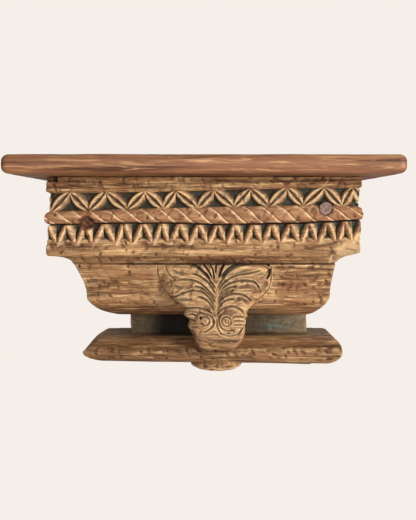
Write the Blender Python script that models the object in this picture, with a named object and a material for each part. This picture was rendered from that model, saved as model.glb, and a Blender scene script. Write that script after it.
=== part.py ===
"""Carved corbel shelf: a plank on a reclaimed carved timber capital, with one peg in its frieze.

X runs along the shelf, Y into the wall and Z up. The origin is the middle of the frieze's
back face, which lies on the wall. Lengths are in metres.
"""

import math

import bmesh
import bpy
from mathutils import Matrix, Vector

# Fits
TOUCHING_GAP = 0.0003
PEG_CLEARANCE = 0.0006

# Shelf board
BOARD_LENGTH = 0.570
BOARD_DEPTH = 0.200
BOARD_THICKNESS = 0.0282
BOARD_EDGE_RADIUS = 0.0105
BOARD_CORNER_RADIUS = 0.012
BOARD_EDGE_STEPS = 5

# Frieze block, from its top down
FRIEZE_WIDTH = 0.478
FRIEZE_DEPTH = 0.130
FILLET_HEIGHT = 0.020
LEAF_BAND_HEIGHT = 0.027
ROPE_HEIGHT = 0.024
ZIGZAG_BAND_HEIGHT = 0.031
FASCIA_HEIGHT = 0.018
COVE_HEIGHT = 0.012
ARRIS_EASING = 0.001
LEAF_BAND_STEP = 0.004
LEAF_BAND_STEP_RIGHT = 0.0015
ROPE_BULGE = 0.006
ROPE_BULGE_RIGHT = 0.0036
ROPE_SIDES = 6
ZIGZAG_BAND_STEP = 0.0025
ZIGZAG_BAND_STEP_RIGHT = 0.0010
SHAKE_OPENING = 0.0012
SHAKE_DEPTH = 0.014
COVE_INSET_LEFT = 0.0385
COVE_INSET_RIGHT = 0.036
COVE_INSET_FRONT = 0.009
COVE_LIP = 0.003
COVE_STEPS = 4
QUIRK_HEIGHT = 0.0020
QUIRK_DEPTH = 0.003
BROKEN_ARRIS_INSET = 0.015

# How far the timber's lines climb to the right end in drying, and how far its foot has sagged
LEAF_BAND_CLIMB = 0.0023
ROPE_CLIMB = 0.0014
SHAKE_CLIMB = 0.0028
SLAB_SAG = 0.0040

# Bowl
BOWL_HEIGHT = 0.0869
BELLY_DROP = 0.052
BELLY_INSET_LEFT = 0.017
BELLY_INSET_RIGHT = 0.006
BELLY_INSET_FRONT = 0.013
UNDERCUT_LEFT = 0.058
UNDERCUT_RIGHT = 0.029
UNDERCUT_FRONT = 0.050
UNDERCUT_POWER = 1.6
UNDERCUT_POWER_RIGHT = 1.2
BOWL_STEPS = 7

# Neck
NECK_HEIGHT = 0.0346
NECK_LEFT = 0.122
NECK_RIGHT = 0.171
NECK_DEPTH = 0.040
LEDGE_FALL = 0.0008

# Lower slab
SLAB_THICKNESS = 0.038
SLAB_LEFT = 0.189
SLAB_RIGHT = 0.2155
SLAB_DEPTH = 0.105
SLAB_NOSE_DROP = 0.016
SLAB_TOP_INSET_LEFT = 0.024
SLAB_TOP_INSET_RIGHT = 0.014
SLAB_TOP_INSET_FRONT = 0.045
SLAB_TOP_POWER_LEFT = 1.15
SLAB_TOP_POWER_RIGHT = 3
SLAB_BASE_INSET_LEFT = 0.060
SLAB_BASE_INSET_RIGHT = 0.045
SLAB_BASE_INSET_FRONT = 0.031
SLAB_STEPS = 5

# Boss under the slab
BOSS_X = 0.0195
BOSS_SETBACK = 0.0015
BOSS_RADIUS = 0.0425
BOSS_DROP = 0.0110
BOSS_ROOT = 0.014
BOSS_SHOULDER_RADIUS = 0.0390
BOSS_SHOULDER_DROP = 0.0078
BOSS_BASE_RADIUS = 0.0300
BOSS_PETALS = 12
BOSS_PETAL_DEPTH = 0.0022

# Leaf bracket and its volutes
LEAF_X = 0.018
LEAF_TOP_HALF_WIDTH = 0.090
LEAF_WAIST_LEFT = 0.041
LEAF_WAIST_RIGHT = 0.045
LEAF_FOOT_LEFT = 0.020
LEAF_FOOT_RIGHT = 0.027
LEAF_RELIEF = 0.003
LEAF_OVERHANG = 0.153
LEAF_EDGE_POWER = 7.0
LEAF_RISE = 0.0005
LEAF_FOOT_DROP = 0.006
LEAF_FOOT_SETBACK = 0.004
LEAF_NARROWING = (0.18, 0.56)
LEAF_SWELLING = 0.60
LEAF_FOOT_START = 0.62
LEAF_TUCK_START = 0.68
LEAF_TUCK_POWER = 1.1
LEAF_LEVELS = 15
LEAF_SIDES = 14
STEM_HALF_WIDTH = 0.0040
VOLUTE_RADIUS_LEFT = 0.0165
VOLUTE_RADIUS_RIGHT = 0.0200
VOLUTE_SPACING = 0.0150
VOLUTE_HEIGHT = -0.1490
VOLUTE_PROUD = 0.0035
VOLUTE_ROOT = 0.020
VOLUTE_STRETCH = 1.12
VOLUTE_CROWN = 0.72
VOLUTE_TURNS = 1.6
VOLUTE_SIDES = 20
SPIRAL_GROOVE_DEPTH = 0.0030
SPIRAL_GROOVE_HALF_WIDTH = 0.0016
SPIRAL_STEPS = 22
SPIRAL_SETBACK = 0.0007
LEAF_GROOVE_DEPTH = 0.0045
LEAF_GROOVE_HALF_WIDTH = 0.0024
HOLLOW_DEPTH = 0.0025
HOLLOW_HALF_WIDTH = 0.0030
SPROUT_DEPTH = 0.0032
SPROUT_HALF_WIDTH = 0.0019
SPIRAL_START_SHARE = 0.80
SPIRAL_END_SHARE = 0.28

# The grooves between lobes and the hollows down them. Root, bend and tip are shares of the drop
# from the bowl's top to the volutes, and the last number is the tip's share of the half width.
LOBE_GROOVES = (
    (0.29, 0.02, 0.035, 0.62),
    (0.44, 0.10, 0.22, 0.72),
    (0.56, 0.26, 0.40, 0.68),
    (0.67, 0.42, 0.54, 0.52),
)
LOBE_HOLLOWS = (
    (0.25, 0.09, 0.13, 0.76),
    (0.38, 0.24, 0.32, 0.70),
    (0.50, 0.40, 0.47, 0.60),
)
GROOVE_BEND_SHARE = 0.30
HOLLOW_ROOT_SHARE = 0.22
HOLLOW_BEND_SHARE = 0.42
SPROUT_LEANS = (-0.16, -0.055, 0.055, 0.16)
SPROUT_DROPS = (0.22, 0.12, 0.03)

# Chip carving
LEAF_PITCH = 0.055
LEAF_HALF_BREADTH = 0.0062
LEAF_CHIP_DEPTH = 0.0055
LEAF_SLIT_HALF_BREADTH = 0.0022
LEAF_SLIT_DEPTH = 0.0030
LEAF_SLIT_SPAN = (0.14, 0.86)
ZIGZAG_PITCH = 0.0280
ZIGZAG_RIDGE = 0.0030
ZIGZAG_CHIP_DEPTH = 0.0065
STRAND_PITCH = 0.0262
STRAND_FIRST = -0.2093
STRAND_LEAN = 0.0143
STRAND_STEPS = 4
STRAND_GROOVE_DEPTH = 0.0034
STRAND_GROOVE_HALF_WIDTH = 0.0030
STRAND_SPAN = (0.06, 0.94)
CHIP_MARGIN = 0.0016
CUTTER_STANDOFF = 0.0020
GROOVE_END_SHARE = 0.30
BAND_END_MARGIN = 0.012
END_CARVING_FRONT = 0.112
END_CARVING_BACK = 0.020

# Where the hand-set corners of the two bands fall along the front. Feet and tops alternate: the
# leaf band starts with a foot and the zigzag with a top.
LEAF_CORNERS = (
    -0.2333, -0.2036, -0.1757, -0.1488, -0.1167, -0.0895, -0.0624, -0.0430, -0.0100,
    0.0150, 0.0455, 0.0705, 0.0980, 0.1257, 0.1510, 0.1820, 0.2088, 0.2262,
)
ZIGZAG_CORNERS = (
    -0.2380, -0.2244, -0.2095, -0.1947, -0.1817, -0.1686, -0.1522, -0.1358, -0.1227,
    -0.1096, -0.0940, -0.0783, -0.0657, -0.0531, -0.0384, -0.0236, -0.0093, 0.0051,
    0.0188, 0.0324, 0.0460, 0.0596, 0.0737, 0.0878, 0.1015, 0.1152, 0.1300,
    0.1447, 0.1582, 0.1716, 0.1856, 0.1996, 0.2125, 0.2253, 0.2380,
)

# Damage on the front: each is an outline along and up the face, its deepest point and its depth
NOTCH_OUTLINE = ((-0.2330, 0.0645), (-0.2335, 0.0585), (-0.2205, 0.0575), (-0.2195, 0.0650))
NOTCH_POINT = (-0.2265, 0.0618)
NOTCH_DEPTH = 0.0065
BREAK_OUTLINE = ((0.1860, -0.0385), (0.2005, -0.0610), (0.2450, -0.0560), (0.2450, -0.0375))
BREAK_POINT = (0.2030, -0.0480)
BREAK_DEPTH = 0.0055

# Peg and knot
PEG_RADIUS = 0.0095
PEG_LENGTH = 0.060
PEG_X = 0.184
PEG_Z = 0.0168
PEG_RECESS = 0.0005
PEG_SIDES = 28
KNOT_X = -0.178
KNOT_Z = -0.0035
KNOT_HALF_WIDTH = 0.0125
KNOT_HALF_HEIGHT = 0.0085
KNOT_DEPTH = 0.0050

# Levels, worked out from the heights above
FRIEZE_HEIGHT = (
    FILLET_HEIGHT + LEAF_BAND_HEIGHT + ROPE_HEIGHT + ZIGZAG_BAND_HEIGHT + FASCIA_HEIGHT + COVE_HEIGHT
)
FRIEZE_TOP = FRIEZE_HEIGHT / 2
LEAF_BAND_TOP = FRIEZE_TOP - FILLET_HEIGHT
ROPE_TOP = LEAF_BAND_TOP - LEAF_BAND_HEIGHT
ZIGZAG_TOP = ROPE_TOP - ROPE_HEIGHT
FASCIA_TOP = ZIGZAG_TOP - ZIGZAG_BAND_HEIGHT
COVE_TOP = FASCIA_TOP - FASCIA_HEIGHT
BOWL_TOP = COVE_TOP - COVE_HEIGHT - QUIRK_HEIGHT
NECK_TOP = BOWL_TOP - BOWL_HEIGHT
SLAB_TOP = NECK_TOP - NECK_HEIGHT
SLAB_NOSE = SLAB_TOP - SLAB_NOSE_DROP
SLAB_BASE = SLAB_TOP - SLAB_THICKNESS
FRIEZE_END = FRIEZE_WIDTH / 2
ROPE_MIDDLE = ROPE_TOP - ROPE_HEIGHT / 2
LEAF_BAND_DEPTH = FRIEZE_DEPTH - LEAF_BAND_STEP
ZIGZAG_BAND_DEPTH = FRIEZE_DEPTH - ZIGZAG_BAND_STEP
COVE_DEPTH = FRIEZE_DEPTH - COVE_INSET_FRONT
PEG_FRONT = LEAF_BAND_DEPTH + ROPE_BULGE - PEG_RECESS
CLIMBS = (
    (FRIEZE_TOP, 0.0),
    (LEAF_BAND_TOP, LEAF_BAND_CLIMB),
    (ROPE_TOP, ROPE_CLIMB),
    (ZIGZAG_TOP, SHAKE_CLIMB),
    (FASCIA_TOP, 0.0),
    (SLAB_NOSE, 0.0),
    (SLAB_BASE, -SLAB_SAG),
)


def settled(point):
    """The old beam has moved in drying: its carved lines climb to the right and its foot sags."""
    climb = CLIMBS[-1][1]
    for (upper, upper_climb), (lower, lower_climb) in zip(CLIMBS, CLIMBS[1:]):
        if point.z >= lower:
            share = min(1, max(0, (point.z - lower) / (upper - lower)))
            climb = lower_climb + (upper_climb - lower_climb) * share
            break
    return Vector((point.x, point.y, point.z + climb * point.x / FRIEZE_END))


def quarter_curve(share, power):
    """How far a rounded edge has turned in, from 0 at its start to 1 at its end."""
    return 1 - (1 - share**power) ** (1 / power)


def finish_mesh(bm, name):
    """Point the faces outwards and store the mesh."""
    bmesh.ops.recalc_face_normals(bm, faces=bm.faces)
    mesh = bpy.data.meshes.new(name)
    bm.to_mesh(mesh)
    bm.free()
    return mesh


def add_loft(bm, rings):
    """A closed solid through rings that all have the same number of corners."""
    loops = []
    for ring in rings:
        verts = [bm.verts.new(settled(point)) for point in ring]
        edges = [bm.edges.new((a, b)) for a, b in zip(verts, verts[1:] + verts[:1])]
        loops.append((verts, edges))
    for (upper, _), (lower, _) in zip(loops, loops[1:]):
        for i in range(len(upper)):
            j = (i + 1) % len(upper)
            bm.faces.new((upper[i], upper[j], lower[j], lower[i]))
    bm.faces.new(loops[0][0])
    bm.faces.new(loops[-1][0])


def add_object(name, mesh, material=None, location=(0, 0, 0)):
    """Link an object that shows, with its material."""
    thing = bpy.data.objects.new(name, mesh)
    thing.location = location
    bpy.context.scene.collection.objects.link(thing)
    if material:
        mesh.materials.append(material)
    return thing


def add_tool(name, bm):
    """Link a solid that only adds to or cuts another one."""
    tool = add_object(name, finish_mesh(bm, name))
    tool.hide_render = True
    tool.display_type = "WIRE"
    return tool


def apply_tool(target, tool, operation):
    """Join or cut with a Boolean modifier. Chips and grooves in one tool may run into each other."""
    boolean = target.modifiers.new(tool.name, "BOOLEAN")
    boolean.operation = operation
    boolean.solver = "EXACT"
    boolean.use_self = operation == "DIFFERENCE"
    boolean.object = tool


def wood(name, colour, roughness):
    """A plain wood tone."""
    material = bpy.data.materials.new(name)
    material.use_nodes = True
    shader = material.node_tree.nodes["Principled BSDF"]
    shader.inputs["Base Color"].default_value = (*colour, 1)
    shader.inputs["Roughness"].default_value = roughness
    shader.inputs["Metallic"].default_value = 0.0
    return material


def build_board():
    """The plank: rounded front corners and a soft nose along its front and ends."""
    bm = bmesh.new()
    middle = (0, -BOARD_DEPTH / 2, FRIEZE_TOP + TOUCHING_GAP + BOARD_THICKNESS / 2)
    bmesh.ops.create_cube(bm, size=1, matrix=Matrix.Translation(middle))
    scale = (BOARD_LENGTH, BOARD_DEPTH, BOARD_THICKNESS)
    bmesh.ops.scale(bm, vec=scale, verts=bm.verts, space=Matrix.Translation(-Vector(middle)))
    corners = [
        edge
        for edge in bm.edges
        if all(v.co.y < -BOARD_DEPTH / 2 for v in edge.verts)
        and abs(edge.verts[0].co.z - edge.verts[1].co.z) > BOARD_THICKNESS / 2
    ]
    bmesh.ops.bevel(
        bm,
        geom=corners,
        offset=BOARD_CORNER_RADIUS,
        affect="EDGES",
        segments=BOARD_EDGE_STEPS,
        profile=0.5,
        material=-1,
    )
    rims = [
        edge
        for edge in bm.edges
        if abs(edge.verts[0].co.z - edge.verts[1].co.z) < BOARD_THICKNESS / 2
        and any(v.co.y < -BOARD_EDGE_RADIUS for v in edge.verts)
        and edge.calc_face_angle(0) > 0.5
    ]
    bmesh.ops.bevel(
        bm,
        geom=rims,
        offset=BOARD_EDGE_RADIUS,
        affect="EDGES",
        segments=BOARD_EDGE_STEPS,
        profile=0.5,
        material=-1,
    )
    bmesh.ops.recalc_face_normals(bm, faces=bm.faces)
    mesh = bpy.data.meshes.new("shelf_board")
    bm.to_mesh(mesh)
    bm.free()
    mesh.shade_smooth()
    mesh.set_sharp_from_angle(angle=math.radians(35))
    return add_object("shelf_board", mesh, wood("board_wood", (0.38, 0.17, 0.075), 0.42))


def frieze_sections():
    """Height, left reach, right reach and depth of the frieze's profile, downwards."""
    level = []

    def add(z, inset, right_inset):
        level.append((z, FRIEZE_END - inset, FRIEZE_END - right_inset, FRIEZE_DEPTH - inset))

    add(FRIEZE_TOP, ARRIS_EASING, ARRIS_EASING)
    add(LEAF_BAND_TOP + ARRIS_EASING, 0, 0)
    add(LEAF_BAND_TOP, LEAF_BAND_STEP, LEAF_BAND_STEP_RIGHT)
    for i in range(ROPE_SIDES + 1):
        turn = math.pi * i / ROPE_SIDES
        half = ROPE_HEIGHT / 2 - (SHAKE_OPENING / 2 if i == ROPE_SIDES else 0)
        add(
            ROPE_MIDDLE + half * math.cos(turn),
            LEAF_BAND_STEP - ROPE_BULGE * math.sin(turn),
            LEAF_BAND_STEP_RIGHT - ROPE_BULGE_RIGHT * math.sin(turn),
        )
    add(ZIGZAG_TOP + SHAKE_OPENING / 3, SHAKE_DEPTH, SHAKE_DEPTH)
    add(ZIGZAG_TOP - SHAKE_OPENING / 3, SHAKE_DEPTH, SHAKE_DEPTH)
    add(ZIGZAG_TOP - SHAKE_OPENING / 2, ZIGZAG_BAND_STEP, ZIGZAG_BAND_STEP_RIGHT)
    add(FASCIA_TOP, ZIGZAG_BAND_STEP - ARRIS_EASING, ZIGZAG_BAND_STEP_RIGHT)
    add(FASCIA_TOP - ARRIS_EASING, 0, 0)
    return level


def cove_sections():
    """The cove under the fascia. The wood has broken away along the right arris."""
    level = [(COVE_TOP + FASCIA_HEIGHT / 4, FRIEZE_END, FRIEZE_END, FRIEZE_DEPTH)]
    for i in range(COVE_STEPS + 1):
        share = i / COVE_STEPS
        swept = math.sin(share * math.pi / 2)
        level.append(
            (
                COVE_TOP - COVE_HEIGHT * (1 - math.cos(share * math.pi / 2)),
                FRIEZE_END - COVE_LIP - (COVE_INSET_LEFT - COVE_LIP) * swept,
                FRIEZE_END - BROKEN_ARRIS_INSET - (COVE_INSET_RIGHT - BROKEN_ARRIS_INSET) * share,
                FRIEZE_DEPTH - ARRIS_EASING - (COVE_INSET_FRONT - ARRIS_EASING) * swept,
            )
        )
    z, left, right, depth = level[-1]
    quirk = (z - QUIRK_HEIGHT / 2, left - QUIRK_DEPTH, right - QUIRK_DEPTH, depth - QUIRK_DEPTH)
    return level + [quirk]


def bowl_sections():
    """The bowl: an ogee that falls nearly straight and then turns in under itself."""
    left_top = FRIEZE_END - COVE_INSET_LEFT - QUIRK_HEIGHT
    right_top = FRIEZE_END - COVE_INSET_RIGHT - QUIRK_HEIGHT
    level = []
    for i in range(BOWL_STEPS):
        share = i / BOWL_STEPS
        fall = math.sin(share * math.pi / 2)
        level.append(
            (
                BOWL_TOP - BELLY_DROP * share,
                left_top - BELLY_INSET_LEFT * fall,
                right_top - BELLY_INSET_RIGHT * fall,
                COVE_DEPTH - BELLY_INSET_FRONT * fall,
            )
        )
    for i in range(BOWL_STEPS + 1):
        share = math.sin(i / BOWL_STEPS * math.pi / 2)
        level.append(
            (
                BOWL_TOP - BELLY_DROP - (BOWL_HEIGHT - BELLY_DROP) * share,
                left_top - BELLY_INSET_LEFT - UNDERCUT_LEFT * quarter_curve(share, UNDERCUT_POWER),
                right_top - BELLY_INSET_RIGHT - UNDERCUT_RIGHT * quarter_curve(share, UNDERCUT_POWER_RIGHT),
                COVE_DEPTH - BELLY_INSET_FRONT - UNDERCUT_FRONT * quarter_curve(share, UNDERCUT_POWER),
            )
        )
    return level


def slab_sections():
    """The bullnosed slab: a domed top, a nose and a rounded underside."""
    level = []
    for i in range(SLAB_STEPS + 1):
        share = math.cos(i / SLAB_STEPS * math.pi / 2)
        level.append(
            (
                SLAB_TOP - SLAB_NOSE_DROP * (1 - share),
                SLAB_LEFT - SLAB_TOP_INSET_LEFT * quarter_curve(share, SLAB_TOP_POWER_LEFT),
                SLAB_RIGHT - SLAB_TOP_INSET_RIGHT * quarter_curve(share, SLAB_TOP_POWER_RIGHT),
                SLAB_DEPTH - SLAB_TOP_INSET_FRONT * quarter_curve(share, 2),
            )
        )
    for i in range(1, SLAB_STEPS + 1):
        share = math.sin(i / SLAB_STEPS * math.pi / 2)
        turned = quarter_curve(share, 2)
        level.append(
            (
                SLAB_NOSE - (SLAB_THICKNESS - SLAB_NOSE_DROP) * share,
                SLAB_LEFT - SLAB_BASE_INSET_LEFT * turned,
                SLAB_RIGHT - SLAB_BASE_INSET_RIGHT * turned,
                SLAB_DEPTH - SLAB_BASE_INSET_FRONT * turned,
            )
        )
    return level


def build_timber():
    """The timber before carving: profiles that return on both ends and a flat back."""
    neck = [
        (NECK_TOP - LEDGE_FALL, NECK_LEFT, NECK_RIGHT, NECK_DEPTH),
        (SLAB_TOP + LEDGE_FALL, NECK_LEFT, NECK_RIGHT, NECK_DEPTH),
    ]
    sections = frieze_sections() + cove_sections() + bowl_sections() + neck + slab_sections()
    rings = []
    for z, left, right, depth in sections:
        rings.append(
            [
                Vector((-left, 0, z)),
                Vector((-left, -depth, z)),
                Vector((right, -depth, z)),
                Vector((right, 0, z)),
            ]
        )
    bm = bmesh.new()
    add_loft(bm, rings)
    return add_object("carved_corbel", finish_mesh(bm, "carved_corbel"))


def leaf_level(share):
    """Height, left and right half widths and depth of the leaf bracket, from its top to its foot."""
    top = BOWL_TOP + LEAF_RISE
    foot = SLAB_NOSE - LEAF_FOOT_DROP
    z = top + (foot - top) * share
    waist_first, waist_last = LEAF_NARROWING
    waist = min(1, max(0, (share - waist_first) / (waist_last - waist_first)))
    foot_share = max(0, (share - LEAF_FOOT_START) / (1 - LEAF_FOOT_START))
    narrowing = waist * waist * (3 - 2 * waist)
    halves = []
    for waist_half, foot_half in ((LEAF_WAIST_LEFT, LEAF_FOOT_LEFT), (LEAF_WAIST_RIGHT, LEAF_FOOT_RIGHT)):
        half = LEAF_TOP_HALF_WIDTH + (waist_half - LEAF_TOP_HALF_WIDTH) * narrowing
        halves.append(half + (foot_half - waist_half) * foot_share)
    swell = math.sin(min(1, share / LEAF_SWELLING) * math.pi / 2) ** 3
    start = COVE_DEPTH + LEAF_RELIEF
    depth = start + (LEAF_OVERHANG - start) * swell
    tuck = max(0, (share - LEAF_TUCK_START) / (1 - LEAF_TUCK_START))
    depth -= (LEAF_OVERHANG - SLAB_DEPTH + LEAF_FOOT_SETBACK) * tuck**LEAF_TUCK_POWER
    return z, halves, depth


def leaf_depth(x, z):
    """How far the bracket's rounded front stands out from the wall at a point of its face."""
    top, _, _ = leaf_level(0)
    foot, _, _ = leaf_level(1)
    share = min(1, max(0, (top - z) / (top - foot)))
    _, halves, depth = leaf_level(share)
    across = min(0.98, abs(x - LEAF_X) / halves[x > LEAF_X])
    root = NECK_DEPTH / 2
    return root + (depth - root) * (1 - across**LEAF_EDGE_POWER) ** (1 / LEAF_EDGE_POWER)


def build_leaf_bracket():
    """The bracket that the leaf and volutes are carved on, rising from the slab's nose."""
    bm = bmesh.new()
    rings = []
    for i in range(LEAF_LEVELS + 1):
        z, halves, depth = leaf_level(i / LEAF_LEVELS)
        root = NECK_DEPTH / 2
        ring = []
        for j in range(LEAF_SIDES + 1):
            turn = math.pi * j / LEAF_SIDES
            across = -math.copysign(abs(math.cos(turn)) ** (2 / LEAF_EDGE_POWER), math.cos(turn))
            out = abs(math.sin(turn)) ** (2 / LEAF_EDGE_POWER)
            ring.append(Vector((LEAF_X + halves[across > 0] * across, -root - (depth - root) * out, z)))
        rings.append(ring)
    add_loft(bm, rings)
    return add_tool("leaf_bracket", bm)


def build_volute(name, side, radius):
    """A domed disc beside the foot of the stem, which the spiral is cut in."""
    bm = bmesh.new()
    centre_x = LEAF_X + side * VOLUTE_SPACING
    depth = leaf_depth(centre_x, VOLUTE_HEIGHT)
    shift = side * (VOLUTE_STRETCH - 1) * radius
    rings = []
    for out, size in ((-VOLUTE_ROOT, 1), (VOLUTE_PROUD / 2, 1), (VOLUTE_PROUD, VOLUTE_CROWN)):
        ring = []
        for k in range(VOLUTE_SIDES):
            turn = 2 * math.pi * k / VOLUTE_SIDES
            x = centre_x + shift + VOLUTE_STRETCH * radius * size * math.cos(turn)
            ring.append(Vector((x, -depth - out, VOLUTE_HEIGHT + radius * size * math.sin(turn))))
        rings.append(ring)
    add_loft(bm, rings)
    return add_tool(name, bm)


def build_boss():
    """The petalled boss that hangs under the slab, in line with the leaf."""
    bm = bmesh.new()
    centre = Vector((BOSS_X, -(SLAB_DEPTH - BOSS_SETBACK - BOSS_RADIUS), 0))
    rings = []
    for drop, size in (
        (-BOSS_ROOT, BOSS_RADIUS),
        (BOSS_DROP / 4, BOSS_RADIUS),
        (BOSS_SHOULDER_DROP, BOSS_SHOULDER_RADIUS),
        (BOSS_DROP, BOSS_BASE_RADIUS),
    ):
        ring = []
        for k in range(BOSS_PETALS * 4):
            turn = 2 * math.pi * k / (BOSS_PETALS * 4)
            notch = BOSS_PETAL_DEPTH * (1 - abs(math.sin(BOSS_PETALS * turn / 2)))
            radius = size - notch
            edge = Vector((radius * math.cos(turn), radius * math.sin(turn), SLAB_BASE - drop))
            ring.append(centre + edge)
        rings.append(ring)
    add_loft(bm, rings)
    return add_tool("boss", bm)


def face_frame(side, reach):
    """Axes of a carved face: along it, up it and out of it."""
    axes = {
        "front": ((1, 0, 0), (0, -1, 0), (0, -reach, 0)),
        "left": ((0, -1, 0), (-1, 0, 0), (-reach, 0, 0)),
        "right": ((0, 1, 0), (1, 0, 0), (reach, 0, 0)),
    }
    along, out, origin = axes[side]
    return Matrix(
        (
            (along[0], 0, out[0], origin[0]),
            (along[1], 0, out[1], origin[1]),
            (0, 1, 0, 0),
            (0, 0, 0, 1),
        )
    )


def add_chip(bm, frame, outline, depth, deepest=None):
    """A sunk chip: a pyramid whose mouth is the outline and whose point lies in the wood."""
    mean_u = sum(u for u, _ in outline) / len(outline)
    mean_v = sum(v for _, v in outline) / len(outline)
    if deepest:
        mean_u, mean_v = deepest
    grow = (depth + CUTTER_STANDOFF) / depth
    mouth = []
    for u, v in outline:
        corner = Vector((mean_u + (u - mean_u) * grow, mean_v + (v - mean_v) * grow, CUTTER_STANDOFF))
        mouth.append(bm.verts.new(settled(frame @ corner)))
    point = bm.verts.new(settled(frame @ Vector((mean_u, mean_v, -depth))))
    bm.faces.new(mouth)
    for a, b in zip(mouth, mouth[1:] + mouth[:1]):
        bm.faces.new((a, b, point))


def add_groove(bm, points, outs, half_width, depth):
    """A V groove along points on a surface whose outward directions are given."""
    rings = []
    last = len(points) - 1
    for i, (point, out) in enumerate(zip(points, outs)):
        ahead = points[min(i + 1, last)] - points[max(i - 1, 0)]
        side = ahead.cross(out).normalized()
        taper = GROOVE_END_SHARE + (1 - GROOVE_END_SHARE) * math.sin(math.pi * i / last)
        wide = half_width * taper * (depth * taper + CUTTER_STANDOFF) / (depth * taper)
        mouth = point + out * CUTTER_STANDOFF
        rings.append([mouth - side * wide, mouth + side * wide, point - out * depth * taper])
    add_loft(bm, rings)


def curved_side(start, end, bow, steps=4):
    """Points along a side that bows to its left by the given amount, both ends included."""
    across = (-(end[1] - start[1]), end[0] - start[0])
    length = math.hypot(*across)
    points = []
    for i in range(steps + 1):
        share = i / steps
        push = bow * math.sin(math.pi * share) / length
        points.append(
            (
                start[0] + (end[0] - start[0]) * share + across[0] * push,
                start[1] + (end[1] - start[1]) * share + across[1] * push,
            )
        )
    return points


def even_corners(first, last, spacing):
    """Corners at an even spacing, no further than the last one."""
    return [first + i * spacing for i in range(int((last - first) / spacing) + 1)]


def add_leaf_band(bm, side, reach, corners):
    """Pointed leaves in zigzag: sunk curved triangles above and below, and a slit down each leaf."""
    frame = face_frame(side, reach)
    low = ROPE_TOP + CHIP_MARGIN
    high = LEAF_BAND_TOP - CHIP_MARGIN
    for i, (before, here, after) in enumerate(zip(corners, corners[1:], corners[2:])):
        base, tip, sign = (low, high, -1) if i % 2 == 0 else (high, low, 1)
        bow = sign * LEAF_HALF_BREADTH
        left_side = curved_side((before + CHIP_MARGIN, base), (here, tip), bow)
        right_side = curved_side((here, tip), (after - CHIP_MARGIN, base), bow)
        add_chip(bm, frame, left_side + right_side[1:], LEAF_CHIP_DEPTH)
    for i, (here, after) in enumerate(zip(corners, corners[1:])):
        start, end = (low, high) if i % 2 == 0 else (high, low)
        first, last = [
            (here + (after - here) * share, start + (end - start) * share) for share in LEAF_SLIT_SPAN
        ]
        upper = curved_side(first, last, LEAF_SLIT_HALF_BREADTH)
        lower = curved_side(last, first, LEAF_SLIT_HALF_BREADTH)
        add_chip(bm, frame, upper + lower[1:-1], LEAF_SLIT_DEPTH)


def add_zigzag_band(bm, side, reach, corners):
    """A sharp zigzag ridge between two rows of sunk triangles."""
    frame = face_frame(side, reach)
    high = ZIGZAG_TOP
    low = FASCIA_TOP + CHIP_MARGIN / 2
    blunting = ZIGZAG_RIDGE * (high - low) / (ZIGZAG_PITCH / 2)
    for i, (before, here, after) in enumerate(zip(corners, corners[1:], corners[2:])):
        left, right = before + ZIGZAG_RIDGE, after - ZIGZAG_RIDGE
        if i % 2 == 0:
            outline = [(left, high), (here, low + blunting), (right, high)]
        else:
            outline = [(left, low), (right, low), (here, high - blunting)]
        add_chip(bm, frame, outline, ZIGZAG_CHIP_DEPTH)


def add_rope_grooves(bm, side, reach, first, last, bulge=ROPE_BULGE):
    """The grooves between the rope's strands, which run round the roll in a long S."""
    frame = face_frame(side, reach)
    half = ROPE_HEIGHT / 2 - 0.5 * CHIP_MARGIN
    count = int((last - first) / STRAND_PITCH)
    for i in range(count + 1):
        middle = first + i * STRAND_PITCH
        points, outs = [], []
        for j in range(STRAND_STEPS + 1):
            turn = math.pi * (STRAND_SPAN[0] + (STRAND_SPAN[1] - STRAND_SPAN[0]) * j / STRAND_STEPS)
            lift = bulge * math.sin(turn)
            u = middle - STRAND_LEAN * math.cos(turn)
            points.append(frame @ Vector((u, ROPE_MIDDLE + half * math.cos(turn), lift)))
            tilt = Vector((0, 0.7 * math.cos(turn), math.sin(turn) + 0.4)).normalized()
            outs.append(frame.to_3x3() @ tilt)
        add_groove(bm, points, outs, STRAND_GROOVE_HALF_WIDTH, STRAND_GROOVE_DEPTH)


def add_frieze_cuts(bm):
    """All sunk carving of the frieze, on its front and, more plainly, on both ends."""
    end = FRIEZE_END
    add_leaf_band(bm, "front", LEAF_BAND_DEPTH, LEAF_CORNERS)
    add_zigzag_band(bm, "front", ZIGZAG_BAND_DEPTH, ZIGZAG_CORNERS)
    add_rope_grooves(bm, "front", LEAF_BAND_DEPTH, STRAND_FIRST, end - BAND_END_MARGIN)
    for side, first, last, band_step, bulge, zigzag_step in (
        ("left", END_CARVING_BACK, END_CARVING_FRONT, LEAF_BAND_STEP, ROPE_BULGE, ZIGZAG_BAND_STEP),
        (
            "right",
            -END_CARVING_FRONT,
            -END_CARVING_BACK,
            LEAF_BAND_STEP_RIGHT,
            ROPE_BULGE_RIGHT,
            ZIGZAG_BAND_STEP_RIGHT,
        ),
    ):
        add_zigzag_band(bm, side, end - zigzag_step, even_corners(first, last, ZIGZAG_PITCH / 2))
        add_rope_grooves(bm, side, end - band_step, first, last, bulge)
        add_leaf_band(bm, side, end - band_step, even_corners(first, last, LEAF_PITCH / 2))
    front = face_frame("front", FRIEZE_DEPTH)
    add_chip(bm, front, NOTCH_OUTLINE, NOTCH_DEPTH, NOTCH_POINT)
    add_chip(bm, front, BREAK_OUTLINE, BREAK_DEPTH, BREAK_POINT)


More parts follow.
